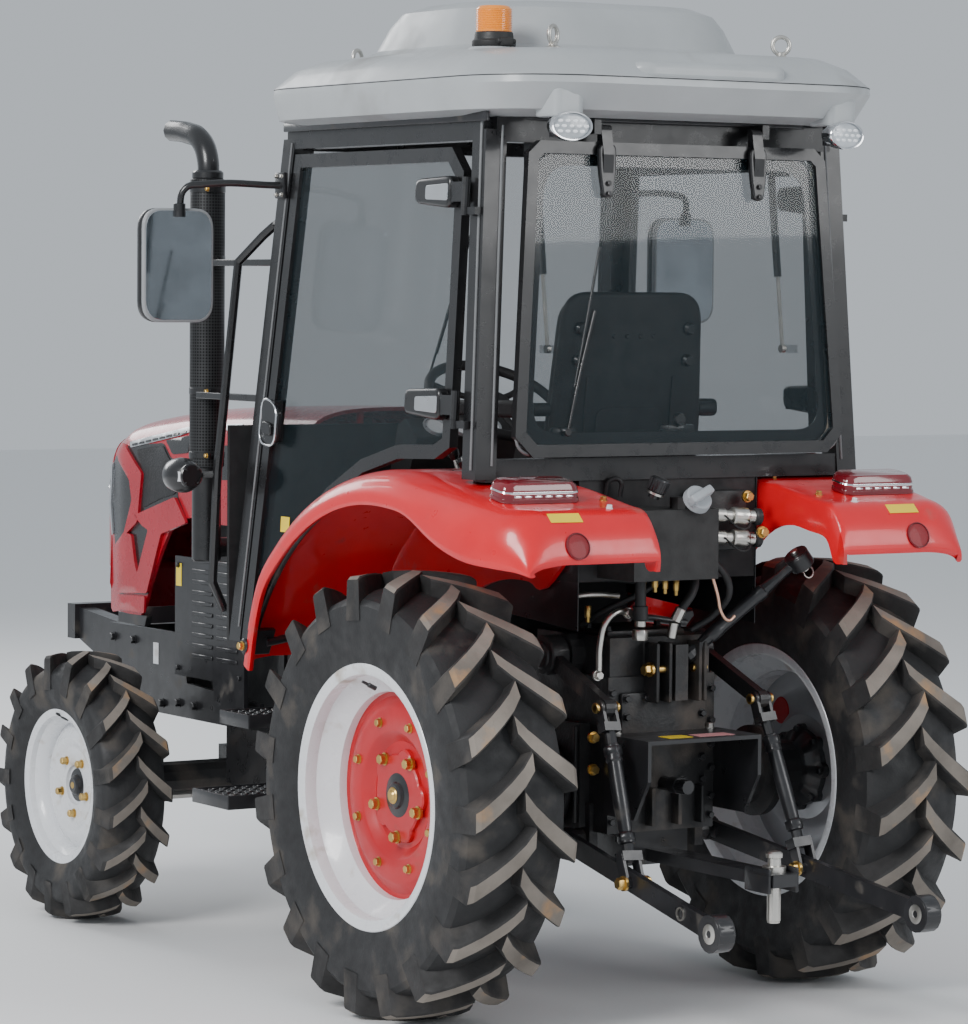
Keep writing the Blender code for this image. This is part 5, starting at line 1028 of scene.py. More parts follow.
lens_clear = material("lamp_lens", (0.62, 0.66, 0.7), 0.07, coat=1.0, spread=0.35, grain=0.5,
    grain_scale=240)
led_white = material("led_white", (0.92, 0.94, 0.97), 0.2, coat=0.8, spread=0.03)
for name, side in SIDES.items():
    at = Vector((side * LAMP_X, REAR_Y + 0.385, roof_low.z - 0.026))
    oval = (Matrix.Translation(at) @ Matrix.Rotation(-0.1 * side, 4, "Z")
        @ Matrix.Diagonal((1.28, 1.0, 0.8, 1.0)) @ Matrix.Translation(-at))
    housing = turned(f"work_lamp_{name}", at, (0, 1, 0), [(0.0, -0.03), (0.02, -0.03), (0.034, -0.02),
        (0.041, -0.002), (0.043, 0.012), (0.0445, 0.016), (0.0445, 0.026), (0.0425, 0.0295),
        (0.0395, 0.029), (0.0385, 0.018), (0.0, 0.017)], steps=56)
    housing.data.transform(oval)
    finish_piece(housing, "chassis", chrome, "steel", f"work_lamp_{name}")
    glass_face = turned(f"work_lamp_lens_{name}", at, (0, 1, 0), [(0.0, 0.0262), (0.028, 0.025),
        (0.0384, 0.0215), (0.0384, 0.0176), (0.0, 0.0176)], steps=48)
    glass_face.data.transform(oval)
    finish_piece(glass_face, "chassis", lens_clear, "steel")
    dots = []
    for row, count in ((-1, 4), (0, 5), (1, 4)):
        for k in range(count):
            spot = at + Vector(((k - (count - 1) / 2) * 0.0155, 0.0, row * 0.0155))
            dots.append(turned("led", spot, (0, 1, 0), [(0.0, 0.0288), (0.0045, 0.0278), (0.0058, 0.024),
                (0.0, 0.024)], steps=14))
    leds = joined(f"work_lamp_leds_{name}", *dots)
    leds.data.transform(oval)
    finish_piece(leds, "chassis", led_white, "steel")
    fins = [block((at.x - 0.034, at.y - 0.026 + 0.007 * k, at.z - 0.026), (at.x + 0.034, at.y - 0.023
        + 0.007 * k, at.z + 0.026), 0.001) for k in range(4)]
    bracket = [block((at.x - 0.016, at.y - 0.028, at.z + 0.026),
        (at.x + 0.016, at.y + 0.004, at.z + 0.048), 0.004), rod((at.x - 0.024, at.y - 0.01, at.z + 0.04),
        (at.x + 0.024, at.y - 0.01, at.z + 0.04), 0.007)]
    finish_piece(joined(f"work_lamp_bracket_{name}", *fins, *bracket), "chassis", black_paint, "black")


# ---------------------------------------------------------------- cab frame and glass
# Satin black posts and rings with grey rubber seals; tinted panes with a dark printed border.

glass = material("tinted_glass", (0.012, 0.026, 0.032), 0.02, coat=0.3, spread=0.1)
glass.node_tree.nodes["Principled BSDF"].inputs["Alpha"].default_value = 0.24
frit = material("glass_border", (0.006, 0.006, 0.007), 0.08, coat=0.8, spread=0.2, grain=0.03)
seal_grey = material("seal_grey", (0.16, 0.165, 0.17), 0.55, spread=0.15, grain=0.2)
satin_black = material("satin_black", (0.011, 0.011, 0.012), 0.3, coat=0.35, spread=0.15, grain=0.06,
    grain_scale=300)
trim_black = material("trim_black", (0.016, 0.016, 0.017), 0.62, spread=0.15, grain=0.12, grain_scale=700)
silver_trim = material("silver_trim", (0.46, 0.48, 0.5), 0.32, metal=0.6, spread=0.06, grain=0.05)
paint_nodes(satin_black, "cab_frame", "rear_window_frame", "door_frame_left", "door_frame_right",
    "fuel_tank", "strut_tube_left", "strut_tube_right")
paint_nodes(trim_black, "dash", "cab_floor", "step_left", "step_right")
paint_nodes(satin_black, "handrail_left", "handrail_right", "mirror_left", "mirror_right")
paint_nodes(glass, "windscreen", "door_glass_left", "door_glass_right", "rear_window_glass")
CAB_TOP, CAB_FLOOR, SILL = 2.18, 0.86, 1.385
DOOR_HINGE_Y, DOOR_HINGE_HEIGHTS = REAR_Y + 0.17, (1.515, CAB_TOP - 0.15)


def side_x(z):
    return 0.57 - 0.053 * (z - CAB_FLOOR)


def front_post(z):
    return REAR_Y - 0.9 + 0.16 * (z - CAB_FLOOR) / (CAB_TOP - CAB_FLOOR)


def rear_post(z):
    return REAR_Y + 0.22 - 0.03 * (z - SILL) / (CAB_TOP - SILL)


seals, trims = [], []
for side in (1, -1):
    gutter = [(side * (side_x(z) + 0.031), rear_post(z) + 0.012, z) for z in (1.36, 1.6, 1.85, 2.1, 2.2)]
    seals.append(pipe(gutter, 0.0038, "seal"))
    seals.append(pipe([(side * (side_x(z) - 0.016), rear_post(z) + 0.031, z)
        for z in (1.37, 1.6, 1.85, 2.1, 2.19)], 0.0034, "seal"))
    seals.append(pipe([(side * (side_x(z) + 0.031), front_post(z) + 0.018, z)
        for z in (0.9, 1.2, 1.6, 2.0, 2.17)], 0.003, "seal"))
    trims.append(plate("pillar_trim", [(side * (side_x(z) - 0.031), rear_post(z) + y, z)
        for y, z in ((-0.024, 1.42), (0.02, 1.42), (0.02, 2.1), (-0.024, 2.1))], (side * -0.006, 0, 0),
        0.002))
finish_piece(joined("post_seals", *seals), "chassis", seal_grey, "rubber")
cream = material("pillar_trim", (0.46, 0.42, 0.33), 0.55, spread=0.1, grain=0.2, grain_scale=300)
finish_piece(joined("pillar_trims", *trims), "chassis", cream, "plastic")
head_lining = plate("head_lining", [(x, y, 2.196) for x, y in round_plan(0.44, REAR_Y - 0.69, REAR_Y
    + 0.14, 0.06, 0.06)], (0, 0, 0.006), 0.002)
finish_piece(head_lining, "chassis", trim_black, "plastic")

# Rear window: grey seal round the edge, dark border, hinge covers, a handle and the wiper.
hatch_low, hatch_high = SILL + 0.006, CAB_TOP - 0.026


def hatch_y(z, out=0.0):
    return REAR_Y + 0.2585 + out - 0.03 / (CAB_TOP - SILL) * (z - hatch_high)


def hatch_outline(shrink, corner):
    bottom, top = 0.492 - shrink, 0.444 - shrink
    return round_corners([(-bottom, hatch_low + shrink), (bottom, hatch_low + shrink),
        (top, hatch_high - shrink), (-top, hatch_high - shrink)], corner, 6)


wire = [(x, hatch_y(z, 0.004), z) for x, z in hatch_outline(0.006, 0.055)]
finish_piece(pipe(wire + wire[:1], 0.0042, "rear_window_seal", 1, False), "rear_window", seal_grey,
    "rubber")
inner, outer = hatch_outline(0.058, 0.075), hatch_outline(0.03, 0.065)
ring_faces = [[k, (k + 1) % len(inner), len(inner) + (k + 1) % len(inner), len(inner) + k]
    for k in range(len(inner))]
border = mesh_piece("rear_window_border", [(x, hatch_y(z, -0.0015), z) for x, z in outer + inner],
    ring_faces)
thick = border.modifiers.new("thick", "SOLIDIFY")
thick.thickness = 0.001
bpy.ops.object.modifier_apply(modifier="thick")
finish_piece(border, "rear_window", frit, "black")
covers = []
for side in (1, -1):
    x, z = side * 0.226, hatch_high
    covers.append(plate("hinge_cover",
        [(x + a, hatch_y(z + b, 0.02), z + b) for a, b in round_corners([(-0.026, -0.004),
        (0.026, -0.004), (0.024, -0.075), (0.014, -0.135), (-0.014, -0.135), (-0.024, -0.075)], 0.02)],
        (0, 0.014, 0.001), 0.004, 3))
    covers.append(bolts("b",
        [(x, hatch_y(z - 0.1, 0.034), z - 0.1), (x, hatch_y(z - 0.125, 0.034), z - 0.125)], (0, 1, 0),
        0.012))
handle = block((-0.05, hatch_y(1.455, -0.02), 1.44), (0.05, hatch_y(1.455, -0.004), 1.466), 0.006)
lever = turned("lever", (0.0, hatch_y(1.475, 0.001), 1.478), (0, 1, 0), [(0.0, 0.006), (0.014, 0.006),
    (0.017, 0.0), (0.017, -0.006), (0.0, -0.006)], steps=24)
motor = block((0.3, hatch_y(1.44, -0.024), 1.42), (0.372, hatch_y(1.44, -0.006), 1.462), 0.008)
arm = pipe([(0.338, hatch_y(1.45, 0.012), 1.45), (0.3, hatch_y(1.6, 0.014), 1.6),
    (0.255, hatch_y(1.74, 0.012), 1.745)], 0.0032)
blade = pipe([(0.312, hatch_y(1.56, 0.006), 1.56), (0.275, hatch_y(1.72, 0.006), 1.72),
    (0.235, hatch_y(1.9, 0.006), 1.9)], 0.0038)
spindle = rod((0.338, hatch_y(1.45, -0.006), 1.45), (0.338, hatch_y(1.45, 0.016), 1.45), 0.009)
finish_piece(joined("rear_window_fittings", *covers, handle, lever, motor, arm, blade, spindle),
    "rear_window", satin_black, "black")
screen_wiper = joined("front_wiper", rod((0.06, front_post(1.46) - 0.04, 1.455),
    (0.06, front_post(1.46) - 0.012, 1.455), 0.01), pipe([(0.06, front_post(1.46) - 0.034, 1.455),
    (0.01, front_post(1.65) - 0.032, 1.65), (-0.04, front_post(1.85) - 0.03, 1.85)], 0.0035),
    pipe([(0.02, front_post(1.62) - 0.024, 1.62), (-0.04, front_post(1.85) - 0.024, 1.85),
    (-0.085, front_post(2.05) - 0.024, 2.05)], 0.004))
finish_piece(screen_wiper, "chassis", satin_black, "black")
# Doors: hinge covers with silver inserts, a chrome-rimmed handle and a blank sticker.
for name, side in SIDES.items():
    covers, inserts = [], []
    for z in DOOR_HINGE_HEIGHTS:
        x = side * (side_x(z) + 0.026)
        lean = -0.053 * side
        shape = round_corners([(DOOR_HINGE_Y - 0.222, z - 0.026), (DOOR_HINGE_Y - 0.056, z - 0.04),
            (DOOR_HINGE_Y - 0.056, z + 0.04), (DOOR_HINGE_Y - 0.222, z + 0.034)], 0.022)
        covers.append(plate("hinge_cover", [(x + lean * (b - z), a, b) for a, b in shape],
            (side * 0.033, 0, 0), 0.009, 4))
        shape = round_corners([(DOOR_HINGE_Y - 0.165, z - 0.017), (DOOR_HINGE_Y - 0.062, z - 0.021),
            (DOOR_HINGE_Y - 0.062, z + 0.021), (DOOR_HINGE_Y - 0.165, z + 0.017)], 0.008)
        inserts.append(plate("insert", [(x + lean * (b - z) + side * 0.0325, a, b) for a, b in shape],
            (side * 0.003, 0, 0), 0.0012))
    hand_y = front_post(1.448) + 0.06
    lean = -0.053 * side
    dish = round_corners([(hand_y - 0.018, 1.388), (hand_y + 0.066, 1.38), (hand_y + 0.07, 1.488),
        (hand_y - 0.008, 1.512)], 0.036, 7)
    x = side * (side_x(1.448) + 0.03)
    chrome_ring = [(x + lean * (b - 1.448) + side * 0.02, a, b) for a, b in dish]
    covers.append(plate("handle_body", [(x + lean * (b - 1.448), a, b) for a, b in dish],
        (side * 0.018, 0, 0), 0.006, 3))
    covers.append(plate("handle_pull",
        [(x + side * 0.02, a, b) for a, b in round_corners([(hand_y + 0.004, 1.412),
        (hand_y + 0.05, 1.408), (hand_y + 0.05, 1.44), (hand_y + 0.004, 1.448)], 0.012)],
        (side * 0.008, 0, 0), 0.004, 3))
    finish_piece(joined(f"door_fittings_{name}", *covers), f"door_{name}", satin_black, "black")
    finish_piece(joined(f"hinge_inserts_{name}", *inserts), f"door_{name}", silver_trim, "steel")
    finish_piece(pipe(chrome_ring + chrome_ring[:1], 0.0034, f"handle_rim_{name}", 1, False),
        f"door_{name}", chrome, "steel")
    stickers = plate(f"door_sticker_{name}", [(side * (side_x(b) + 0.0196), a, b)
        for a, b in ((REAR_Y - 0.7, 1.16), (REAR_Y - 0.655, 1.16), (REAR_Y - 0.655, 1.2),
        (REAR_Y - 0.7, 1.2))], (side * 0.0006, 0, 0), 0)
    finish_piece(stickers, f"door_{name}", sticker_yellow, "plastic")


# ---------------------------------------------------------------- seat, wheel and controls
# Grained black seat with a padded cushion and a pressed shell back with knobs; padded steering
# wheel, a row of gauges on the dash and levers with round knobs.

cloth_black = material("seat_cloth", (0.02, 0.02, 0.021), 0.78, spread=0.25, grain=0.8, grain_scale=700)
low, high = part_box("seat_cushion")
cushion = block(low + Vector((0.012, 0.012, 0.008)), high - Vector((0.012, 0.012, 0.014)), 0.034, 4,
    "seat_cushion")
remesh = cushion.modifiers.new("even", "REMESH")
remesh.mode = "VOXEL"
remesh.voxel_size = 0.006
bpy.ops.object.modifier_apply(modifier="even")
rest = [v.co.copy() for v in cushion.data.vertices]
cloth = cushion.modifiers.new("stuffed", "CLOTH")
cloth.settings.use_pressure = True
cloth.settings.uniform_pressure_force = 4
cloth.settings.effector_weights.gravity = 0
cloth.settings.tension_stiffness = 12
cloth.settings.compression_stiffness = 12
for step in range(1, 21):
    bpy.context.scene.frame_set(step)
stuffed = cushion.evaluated_get(bpy.context.evaluated_depsgraph_get()).data
moved = [v.co.copy() for v in stuffed.vertices]
cushion.modifiers.remove(cloth)
bpy.context.scene.frame_set(1)
for vertex, was, now in zip(cushion.data.vertices, rest, moved):
    shift = now - was
    vertex.co = was + shift * min(1, 0.01 / max(shift.length, 1e-6))
finer = cushion.modifiers.new("finer", "SUBSURF")
finer.levels = finer.render_levels = 1
bpy.context.view_layer.objects.active = cushion
bpy.ops.object.modifier_apply(modifier="finer")
soften(cushion, 180)
finish_piece(cushion, "chassis", cloth_black, "plastic", "seat_cushion")
piping = pipe([(x, y, low.z + 0.03) for x, y in round_plan(0.232, low.y + 0.008, high.y - 0.008, 0.034,
    0.034)], 0.0035, "seat_piping", 1, False)
finish_piece(piping, "chassis", trim_black, "plastic")

seat_y = REAR_Y - 0.18
face = round_corners([(-0.195, 1.205), (0.195, 1.205), (0.228, 1.42), (0.205, 1.792), (-0.205, 1.792),
    (-0.228, 1.42)], 0.07, 7)
back_shell = plate("seat_back", [(x, seat_y + 0.18 + 0.103 * (z - 1.2), z) for x, z in face],
    (0, 0.03, -0.003), 0.012, 4)
front_pad = plate("seat_pad", [(x * 0.94, seat_y + 0.14 + 0.103 * (z - 1.2), 1.498 + (z - 1.498) * 0.95)
    for x, z in face], (0, 0.046, -0.005), 0.019, 5)
ribs = [plate("rib", [(x, seat_y + 0.211 + 0.103 * (z - 1.2), z) for x, z in ((a - 0.006, 1.3),
    (a + 0.006, 1.3), (a + 0.006, 1.58), (a - 0.006, 1.58))], (0, 0.006, 0), 0.002)
    for a in (-0.13, 0.13)]
pouch = plate("pouch", [(x, seat_y + 0.211 + 0.103 * (z - 1.2), z) for x, z in round_corners([(-0.1, 1.3),
    (0.1, 1.3), (0.1, 1.5), (-0.1, 1.5)], 0.03)], (0, 0.007, 0), 0.003)
finish_piece(joined("seat_back", back_shell, front_pad, *ribs, pouch), "chassis", trim_black, "plastic",
    "seat_back")
knobs = []
for x, z in ((-0.165, 1.7), (0.165, 1.7), (-0.165, 1.62), (0.165, 1.62), (0.0, 1.36), (-0.06, 1.68),
        (-0.02, 1.68), (0.02, 1.68), (0.06, 1.68)):
    size = 0.016 if abs(x) > 0.1 or z < 1.4 else 0.006
    knobs.append(turned("knob", (x, seat_y + 0.209 + 0.103 * (z - 1.2), z), (0, 1, -0.1),
        [(0.0, size * 1.3), (size * 0.7, size * 1.2), (size, size * 0.7), (size, 0.002), (0.0, 0.002)],
        steps=24))
finish_piece(joined("seat_knobs", *knobs), "chassis", satin_black, "plastic")
rests = []
for side in (1, -1):
    rests.append(plate("arm_rest",
        [(side * 0.262, a, b) for a, b in round_corners([(seat_y - 0.13, 1.475), (seat_y + 0.2, 1.475),
        (seat_y + 0.2, 1.52), (seat_y - 0.13, 1.512)], 0.018)], (side * 0.045, 0, 0), 0.01, 4))
    rests.append(rod((side * 0.225, seat_y + 0.215, 1.497), (side * 0.275, seat_y + 0.215, 1.497), 0.017))
finish_piece(joined("arm_rests", *rests), "chassis", trim_black, "plastic")

tilt = Vector((0, 0.5, 0.866)).normalized()
hub = Vector((0, REAR_Y - 0.87 + 0.001 + 0.3, 1.5))
across = Vector((1, 0, 0))
up = tilt.cross(across).normalized()
bpy.ops.mesh.primitive_torus_add(location=hub, rotation=tilt.to_track_quat("Z", "Y").to_euler(),
    major_radius=0.18, minor_radius=0.0138, major_segments=72, minor_segments=16)
rim = bpy.context.object
bpy.ops.object.transform_apply(location=True, rotation=True, scale=True)
soften(rim, 80)
spokes = [pipe([hub + (across * math.cos(t) + up * math.sin(t)) * 0.03 - tilt * 0.004, hub
    + (across * math.cos(t) + up * math.sin(t)) * 0.1 - tilt * 0.01, hub
    + (across * math.cos(t) + up * math.sin(t)) * 0.176], 0.0085) for t in (math.radians(90),
    math.radians(210), math.radians(330))]
boss = turned("boss", hub, tilt, [(0.0, 0.012), (0.034, 0.011), (0.043, 0.005), (0.045, -0.004),
    (0.038, -0.018), (0.0, -0.02)], steps=40)
finish_piece(joined("steering_wheel", rim, *spokes, boss), "steering_wheel", trim_black, "plastic",
    "steering_wheel")
dash_y = REAR_Y - 0.869
panel_way = Vector((0, 0.64, 0.77)).normalized()
gauges, faces_list = [], []
for x, size in ((-0.085, 0.034), (0.0, 0.04), (0.085, 0.034)):
    at = Vector((x, dash_y + 0.14, 1.4262))
    gauges.append(turned("gauge", at, panel_way, [(size * 0.86, 0.001), (size * 0.9, 0.006),
        (size, 0.006), (size + 0.002, 0.0), (size + 0.002, -0.012), (size * 0.86, -0.012)], steps=36))
    faces_list.append(turned("face", at, panel_way, [(0.0, 0.0012), (size * 0.85, 0.0012),
        (size * 0.85, -0.01), (0.0, -0.01)], steps=30))
finish_piece(joined("gauge_rims", *gauges), "chassis", silver_trim, "steel")
finish_piece(joined("gauge_faces", *faces_list), "chassis", led_white, "plastic")
levers, lever_knobs = [], []
for x, y, z, lean_x, lean_y in ((0.255, 0.56, 1.2, 0.03, -0.05), (0.262, 0.64, 1.18, 0.05, -0.03),
        (-0.255, 0.58, 1.2, -0.03, -0.05), (-0.262, 0.68, 1.18, -0.05, -0.02),
        (-0.255, 0.77, 1.18, -0.07, 0.0), (0.06, 0.34, 0.9, 0.03, 0.02)):
    base_z = 1.105 if y > 0.45 else 0.862
    end = Vector((x + lean_x, y + lean_y, z + 0.16))
    levers.append(pipe([(x * 0.8, y, base_z), (x, y, z), end], 0.006))
    lever_knobs.append(turned("knob", end, end - Vector((x, y, z)), [(0.0, 0.034), (0.012, 0.032),
        (0.017, 0.022), (0.016, 0.01), (0.008, -0.002), (0.0, -0.002)], steps=20))
finish_piece(joined("levers", *levers), "chassis", zinc, "steel")
finish_piece(joined("lever_knobs", *lever_knobs), "chassis", satin_black, "plastic")
pedals = [joined("pedal", block((x - 0.032, REAR_Y - 0.7, 0.925), (x + 0.032, REAR_Y - 0.688, 0.995),
    0.004), pipe([(x, REAR_Y - 0.695, 0.96), (x, REAR_Y - 0.76, 0.99), (x * 0.9, REAR_Y - 0.8, 1.04)],
    0.007)) for x in (0.205, -0.2, -0.285)]
mat = plate("floor_mat", [(x, y, 0.8605) for x, y in ((-0.5, REAR_Y - 0.86), (0.5, REAR_Y - 0.86),
    (0.5, REAR_Y - 0.79), (0.225, REAR_Y - 0.76), (0.225, REAR_Y - 0.37), (-0.225, REAR_Y - 0.37),
    (-0.225, REAR_Y - 0.76), (-0.5, REAR_Y - 0.79))], (0, 0, 0.006), 0.002)
finish_piece(joined("pedals_and_mat", *pedals, mat), "chassis", trim_black, "rubber")


# ---------------------------------------------------------------- hood
# One smooth dark red shell, open below and behind, with black side inlays, raised red limbs, a
# slotted silver strip, blank badges, a mesh grille and head lamps in the nose.

hood_low, hood_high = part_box("hood")
nose = hood_low.y
NOSE_STATIONS = [(0.0, 0.055, 1.185, 1.085), (0.018, 0.135, 1.232, 1.05), (0.05, 0.196, 1.284, 1.024),
    (0.09, 0.243, 1.328, 0.995), (0.132, 0.276, 1.352, 0.97), (0.168, 0.289, 1.368, 0.95),
    (0.174, 0.291, 1.37, 0.84), (0.24, 0.304, 1.392, 0.837), (0.3, 0.3135, 1.409, 0.837),
    (0.41, 0.314, 1.424, 0.837), (0.5, 0.314, 1.434, 0.98), (0.64, 0.314, 1.447, 1.127),
    (0.9, 0.3135, 1.459, 1.127), (1.13, 0.312, 1.466, 1.127), (hood_high.y - nose, 0.31, 1.4695, 1.127)]
STEPS_BETWEEN = 3
CHIN_ROWS = 6 * STEPS_BETWEEN
columns = []
for along, half, top, low in NOSE_STATIONS:
    y = nose + along
    shoulder = min(0.15, (top - low) * 0.55)
    right = [(half, low), (half, low + (top - shoulder - low) * 0.5), (half, top - shoulder)]
    right += [tuple(p)
        for p in smooth_line([(half, top - shoulder, 0), (half * 0.965, top - shoulder * 0.5, 0),
        (half * 0.86, top - shoulder * 0.22, 0), (half * 0.62, top - shoulder * 0.06, 0),
        (half * 0.3, top - 0.001, 0), (0, top, 0)], 3)][1:]
    right = [p[:2] for p in right]
    columns.append([(x, y, z) for x, z in right] + [(-x, y, z) for x, z in reversed(right[:-1])])
fine_columns = list(zip(*[smooth_line(line, STEPS_BETWEEN) for line in zip(*columns)]))
count = len(fine_columns[0])
faces = [[i * count + k, i * count + k + 1, (i + 1) * count + k + 1, (i + 1) * count + k]
    for i in range(len(fine_columns) - 1) for k in range(count - 1)] + [list(range(count))]
faces += [[i * count + count - 1, i * count, (i + 1) * count, (i + 1) * count + count - 1]
    for i in range(CHIN_ROWS)]
skin = mesh_piece("hood", [p for line in fine_columns for p in line], faces)
probe = skin.data.copy()
probe_object = bpy.data.objects.new("probe", probe)
bpy.context.collection.objects.link(probe_object)
wall = skin.modifiers.new("wall", "SOLIDIFY")
wall.thickness = 0.01
wall.offset = -1
bpy.context.view_layer.objects.active = skin
bpy.ops.object.modifier_apply(modifier="wall")
soften(skin, 42)
ears = [block((min(side * 0.121, side * 0.136), REAR_Y - 1.066, 1.414), (max(side * 0.121, side * 0.136),
    REAR_Y - 1.043, 1.462), 0.004) for side in (1, -1)]
finish_piece(joined("hood", skin, *ears), "hood", hood_red, "dark_red", "hood")
inlay_black = material("inlay_black", (0.012, 0.012, 0.013), 0.26, coat=0.5, spread=0.15, grain=0.05,
    grain_scale=260)
mesh_black = material("mesh_black", (0.03, 0.031, 0.033), 0.5, metal=0.4, spread=0.3, grain=1.0,
    grain_scale=190)
lamp_glass = material("head_lamp_glass", (0.42, 0.47, 0.5), 0.05, coat=1.0, spread=0.4, grain=0.2,
    grain_scale=70)


def inlay(name, outline, look, out=0.0012, thick=0.002, corner=0.014, step=0.018):
    """Panel that lies on the hood: outline as (y, z) seen from a side, or as (x, z) seen from the front."""
    edge = [Vector(p) for p in round_corners(outline, corner, 3)]
    low = Vector((min(p.x for p in edge), min(p.y for p in edge)))
    high = Vector((max(p.x for p in edge), max(p.y for p in edge)))
    grid = [Vector((low.x + step * i, low.y + step * k))
        for i in range(1, int((high.x - low.x) / step) + 1)
        for k in range(1, int((high.y - low.y) / step) + 1)]
    points, _, triangles, *_ = geometry.delaunay_2d_cdt(edge + grid, [], [list(range(len(edge)))], 1, 1e-5)
    used = sorted({k for t in triangles for k in t})
    places = []
    for k in used:
        a, b = points[k]
        if look:
            hit, place, normal, _ = probe_object.ray_cast(Vector((look * 2.0, a, b)), Vector((-look, 0, 0)))
        else:
            hit, place, normal, _ = probe_object.ray_cast(Vector((a, -4.0, b)), Vector((0, 1, 0)))
        outward = Vector((look, 0, 0)) if look else Vector((0, -1, 0))
        normal = (normal if normal.dot(outward) > 0 else -normal) if hit else outward
        places.append((place if hit else Vector((look * 0.314, a, b))) + normal * out)
    order = {k: i for i, k in enumerate(used)}
    made = mesh_piece(name, places, [[order[k] for k in t] for t in triangles])
    bpy.ops.object.select_all(action="DESELECT")
    made.select_set(True)
    outward = Vector((look, 0, 0)) if look else Vector((0, -1, 0))
    if sum(p.normal.dot(outward) for p in made.data.polygons) < 0:
        made.data.flip_normals()
    wall = made.modifiers.new("wall", "SOLIDIFY")
    wall.thickness = thick + out
    wall.offset = 1 if thick > 0.0015 else 0
    bpy.context.view_layer.objects.active = made
    bpy.ops.object.modifier_apply(modifier="wall")
    soften(made, 40)
    return made


bpy.context.view_layer.update()
for name, side in SIDES.items():
    dark = inlay(f"hood_inlay_{name}", [(-1.405, 1.15), (-1.4, 1.272), (-1.35, 1.322), (-1.268, 1.328),
        (-1.043, 1.344), (-0.988, 1.302), (-0.902, 1.301), (-0.949, 1.199), (-0.89, 1.132),
        (-1.031, 1.087), (-1.125, 0.9), (-1.318, 0.892), (-1.36, 1.022)], side, 0.0005, 0.001)
    finish_piece(dark, "hood", inlay_black, "black")
    mesh_panel = inlay(f"hood_mesh_{name}", [(-1.21, 1.318), (-1.045, 1.338), (-0.992, 1.296),
        (-0.912, 1.295), (-0.955, 1.202), (-1.054, 1.182), (-1.16, 1.15), (-1.148, 1.248),
        (-1.182, 1.29)], side, 0.0022, 0.001)
    finish_piece(mesh_panel, "hood", mesh_black, "black")
    limbs = [inlay("limb", [(-1.35, 1.306), (-1.292, 1.335), (-1.154, 1.253), (-1.18, 1.11),
        (-1.272, 1.059), (-1.215, 1.17), (-1.232, 1.232)], side, 0.0012, 0.008, 0.01, 0.014),
        inlay("branch", [(-1.2, 1.128), (-0.949, 1.193), (-0.878, 1.122), (-1.031, 1.083), (-1.12, 0.905),
        (-1.318, 0.893), (-1.36, 1.022), (-1.262, 1.075), (-1.218, 1.07), (-1.196, 0.99), (-1.18, 0.96),
        (-1.112, 1.09), (-1.15, 1.1)], side, 0.0012, 0.008, 0.008, 0.014), inlay("leg",
        [(-1.318, 0.889), (-1.135, 0.895), (-1.14, 0.845), (-1.318, 0.845)], side, 0.0012, 0.006, 0.006)]
    finish_piece(joined(f"hood_limbs_{name}", *limbs), "hood", hood_red, "dark_red")
    strip = inlay(f"hood_strip_{name}", [(-1.262, 1.338), (-0.878, 1.398), (-0.6, 1.412), (-0.6, 1.397),
        (-0.878, 1.382), (-1.246, 1.322)], side, 0.0008, 0.003, 0.004, 0.012)
    finish_piece(strip, "hood", silver_trim, "steel")
    slots = [inlay("slot", [(a, b + 0.005), (a + 0.03, b + 0.0095), (a + 0.028, b + 0.015),
        (a - 0.002, b + 0.0105)], side, 0.0042, 0.0006, 0.002, 0.01)
        for a, b in ((-1.235 + 0.042 * k, 1.3225 + 0.0063 * k) for k in range(9))]
    badges = [inlay("badge", [(-1.03, 1.352), (-0.882, 1.371), (-0.882, 1.322), (-0.978, 1.314)], side,
        0.0008, 0.0018, 0.008, 0.012), inlay("badge", [(-0.8, 1.345), (-0.42, 1.362), (-0.42, 1.262),
        (-0.8, 1.25)], side, 0.0006, 0.0012, 0.012)]
    finish_piece(joined(f"hood_badges_{name}", *slots, *badges), "hood", inlay_black, "black")
    lamp = inlay(f"head_lamp_{name}", [(side * 0.085, 1.118), (side * 0.232, 1.09), (side * 0.258, 1.19),
        (side * 0.236, 1.238), (side * 0.12, 1.178)], 0, 0.002, 0.006, 0.016, 0.012)
    finish_piece(lamp, "hood", lamp_glass, "steel")
    # Painted highlight: a thin chrome strip along the nose's front edge, where the curved shell catches the
    # light.
    edge_highlight = inlay(f"nose_highlight_{name}", [(-1.408, 1.15), (-1.404, 1.262), (-1.395, 1.275),
        (-1.386, 1.262), (-1.39, 1.15), (-1.368, 1.062), (-1.378, 1.058)], side, 0.002, 0.004, 0.004,
        0.01)
    finish_piece(edge_highlight, "hood", chrome, "steel")
grille = inlay("nose_grille", [(-0.15, 1.115), (-0.07, 1.17), (0.07, 1.17), (0.15, 1.115), (0.12, 1.05),
    (0.0, 1.09), (-0.12, 1.05)], 0, 0.0008, 0.003, 0.012, 0.012)
lower_grille = plate("lower_grille", [(x, nose + 0.1735, z) for x, z in round_corners([(-0.25, 0.862),
    (0.25, 0.862), (0.262, 0.945), (-0.262, 0.945)], 0.02)], (0, -0.004, 0), 0.001)
finish_piece(joined("nose_grille", grille, lower_grille), "hood", mesh_black, "black")
bpy.data.objects.remove(probe_object)


# ---------------------------------------------------------------- front frame and side panels
# Folded black panels with two columns of louvres, frame bolts and stickers, and the weight bracket.

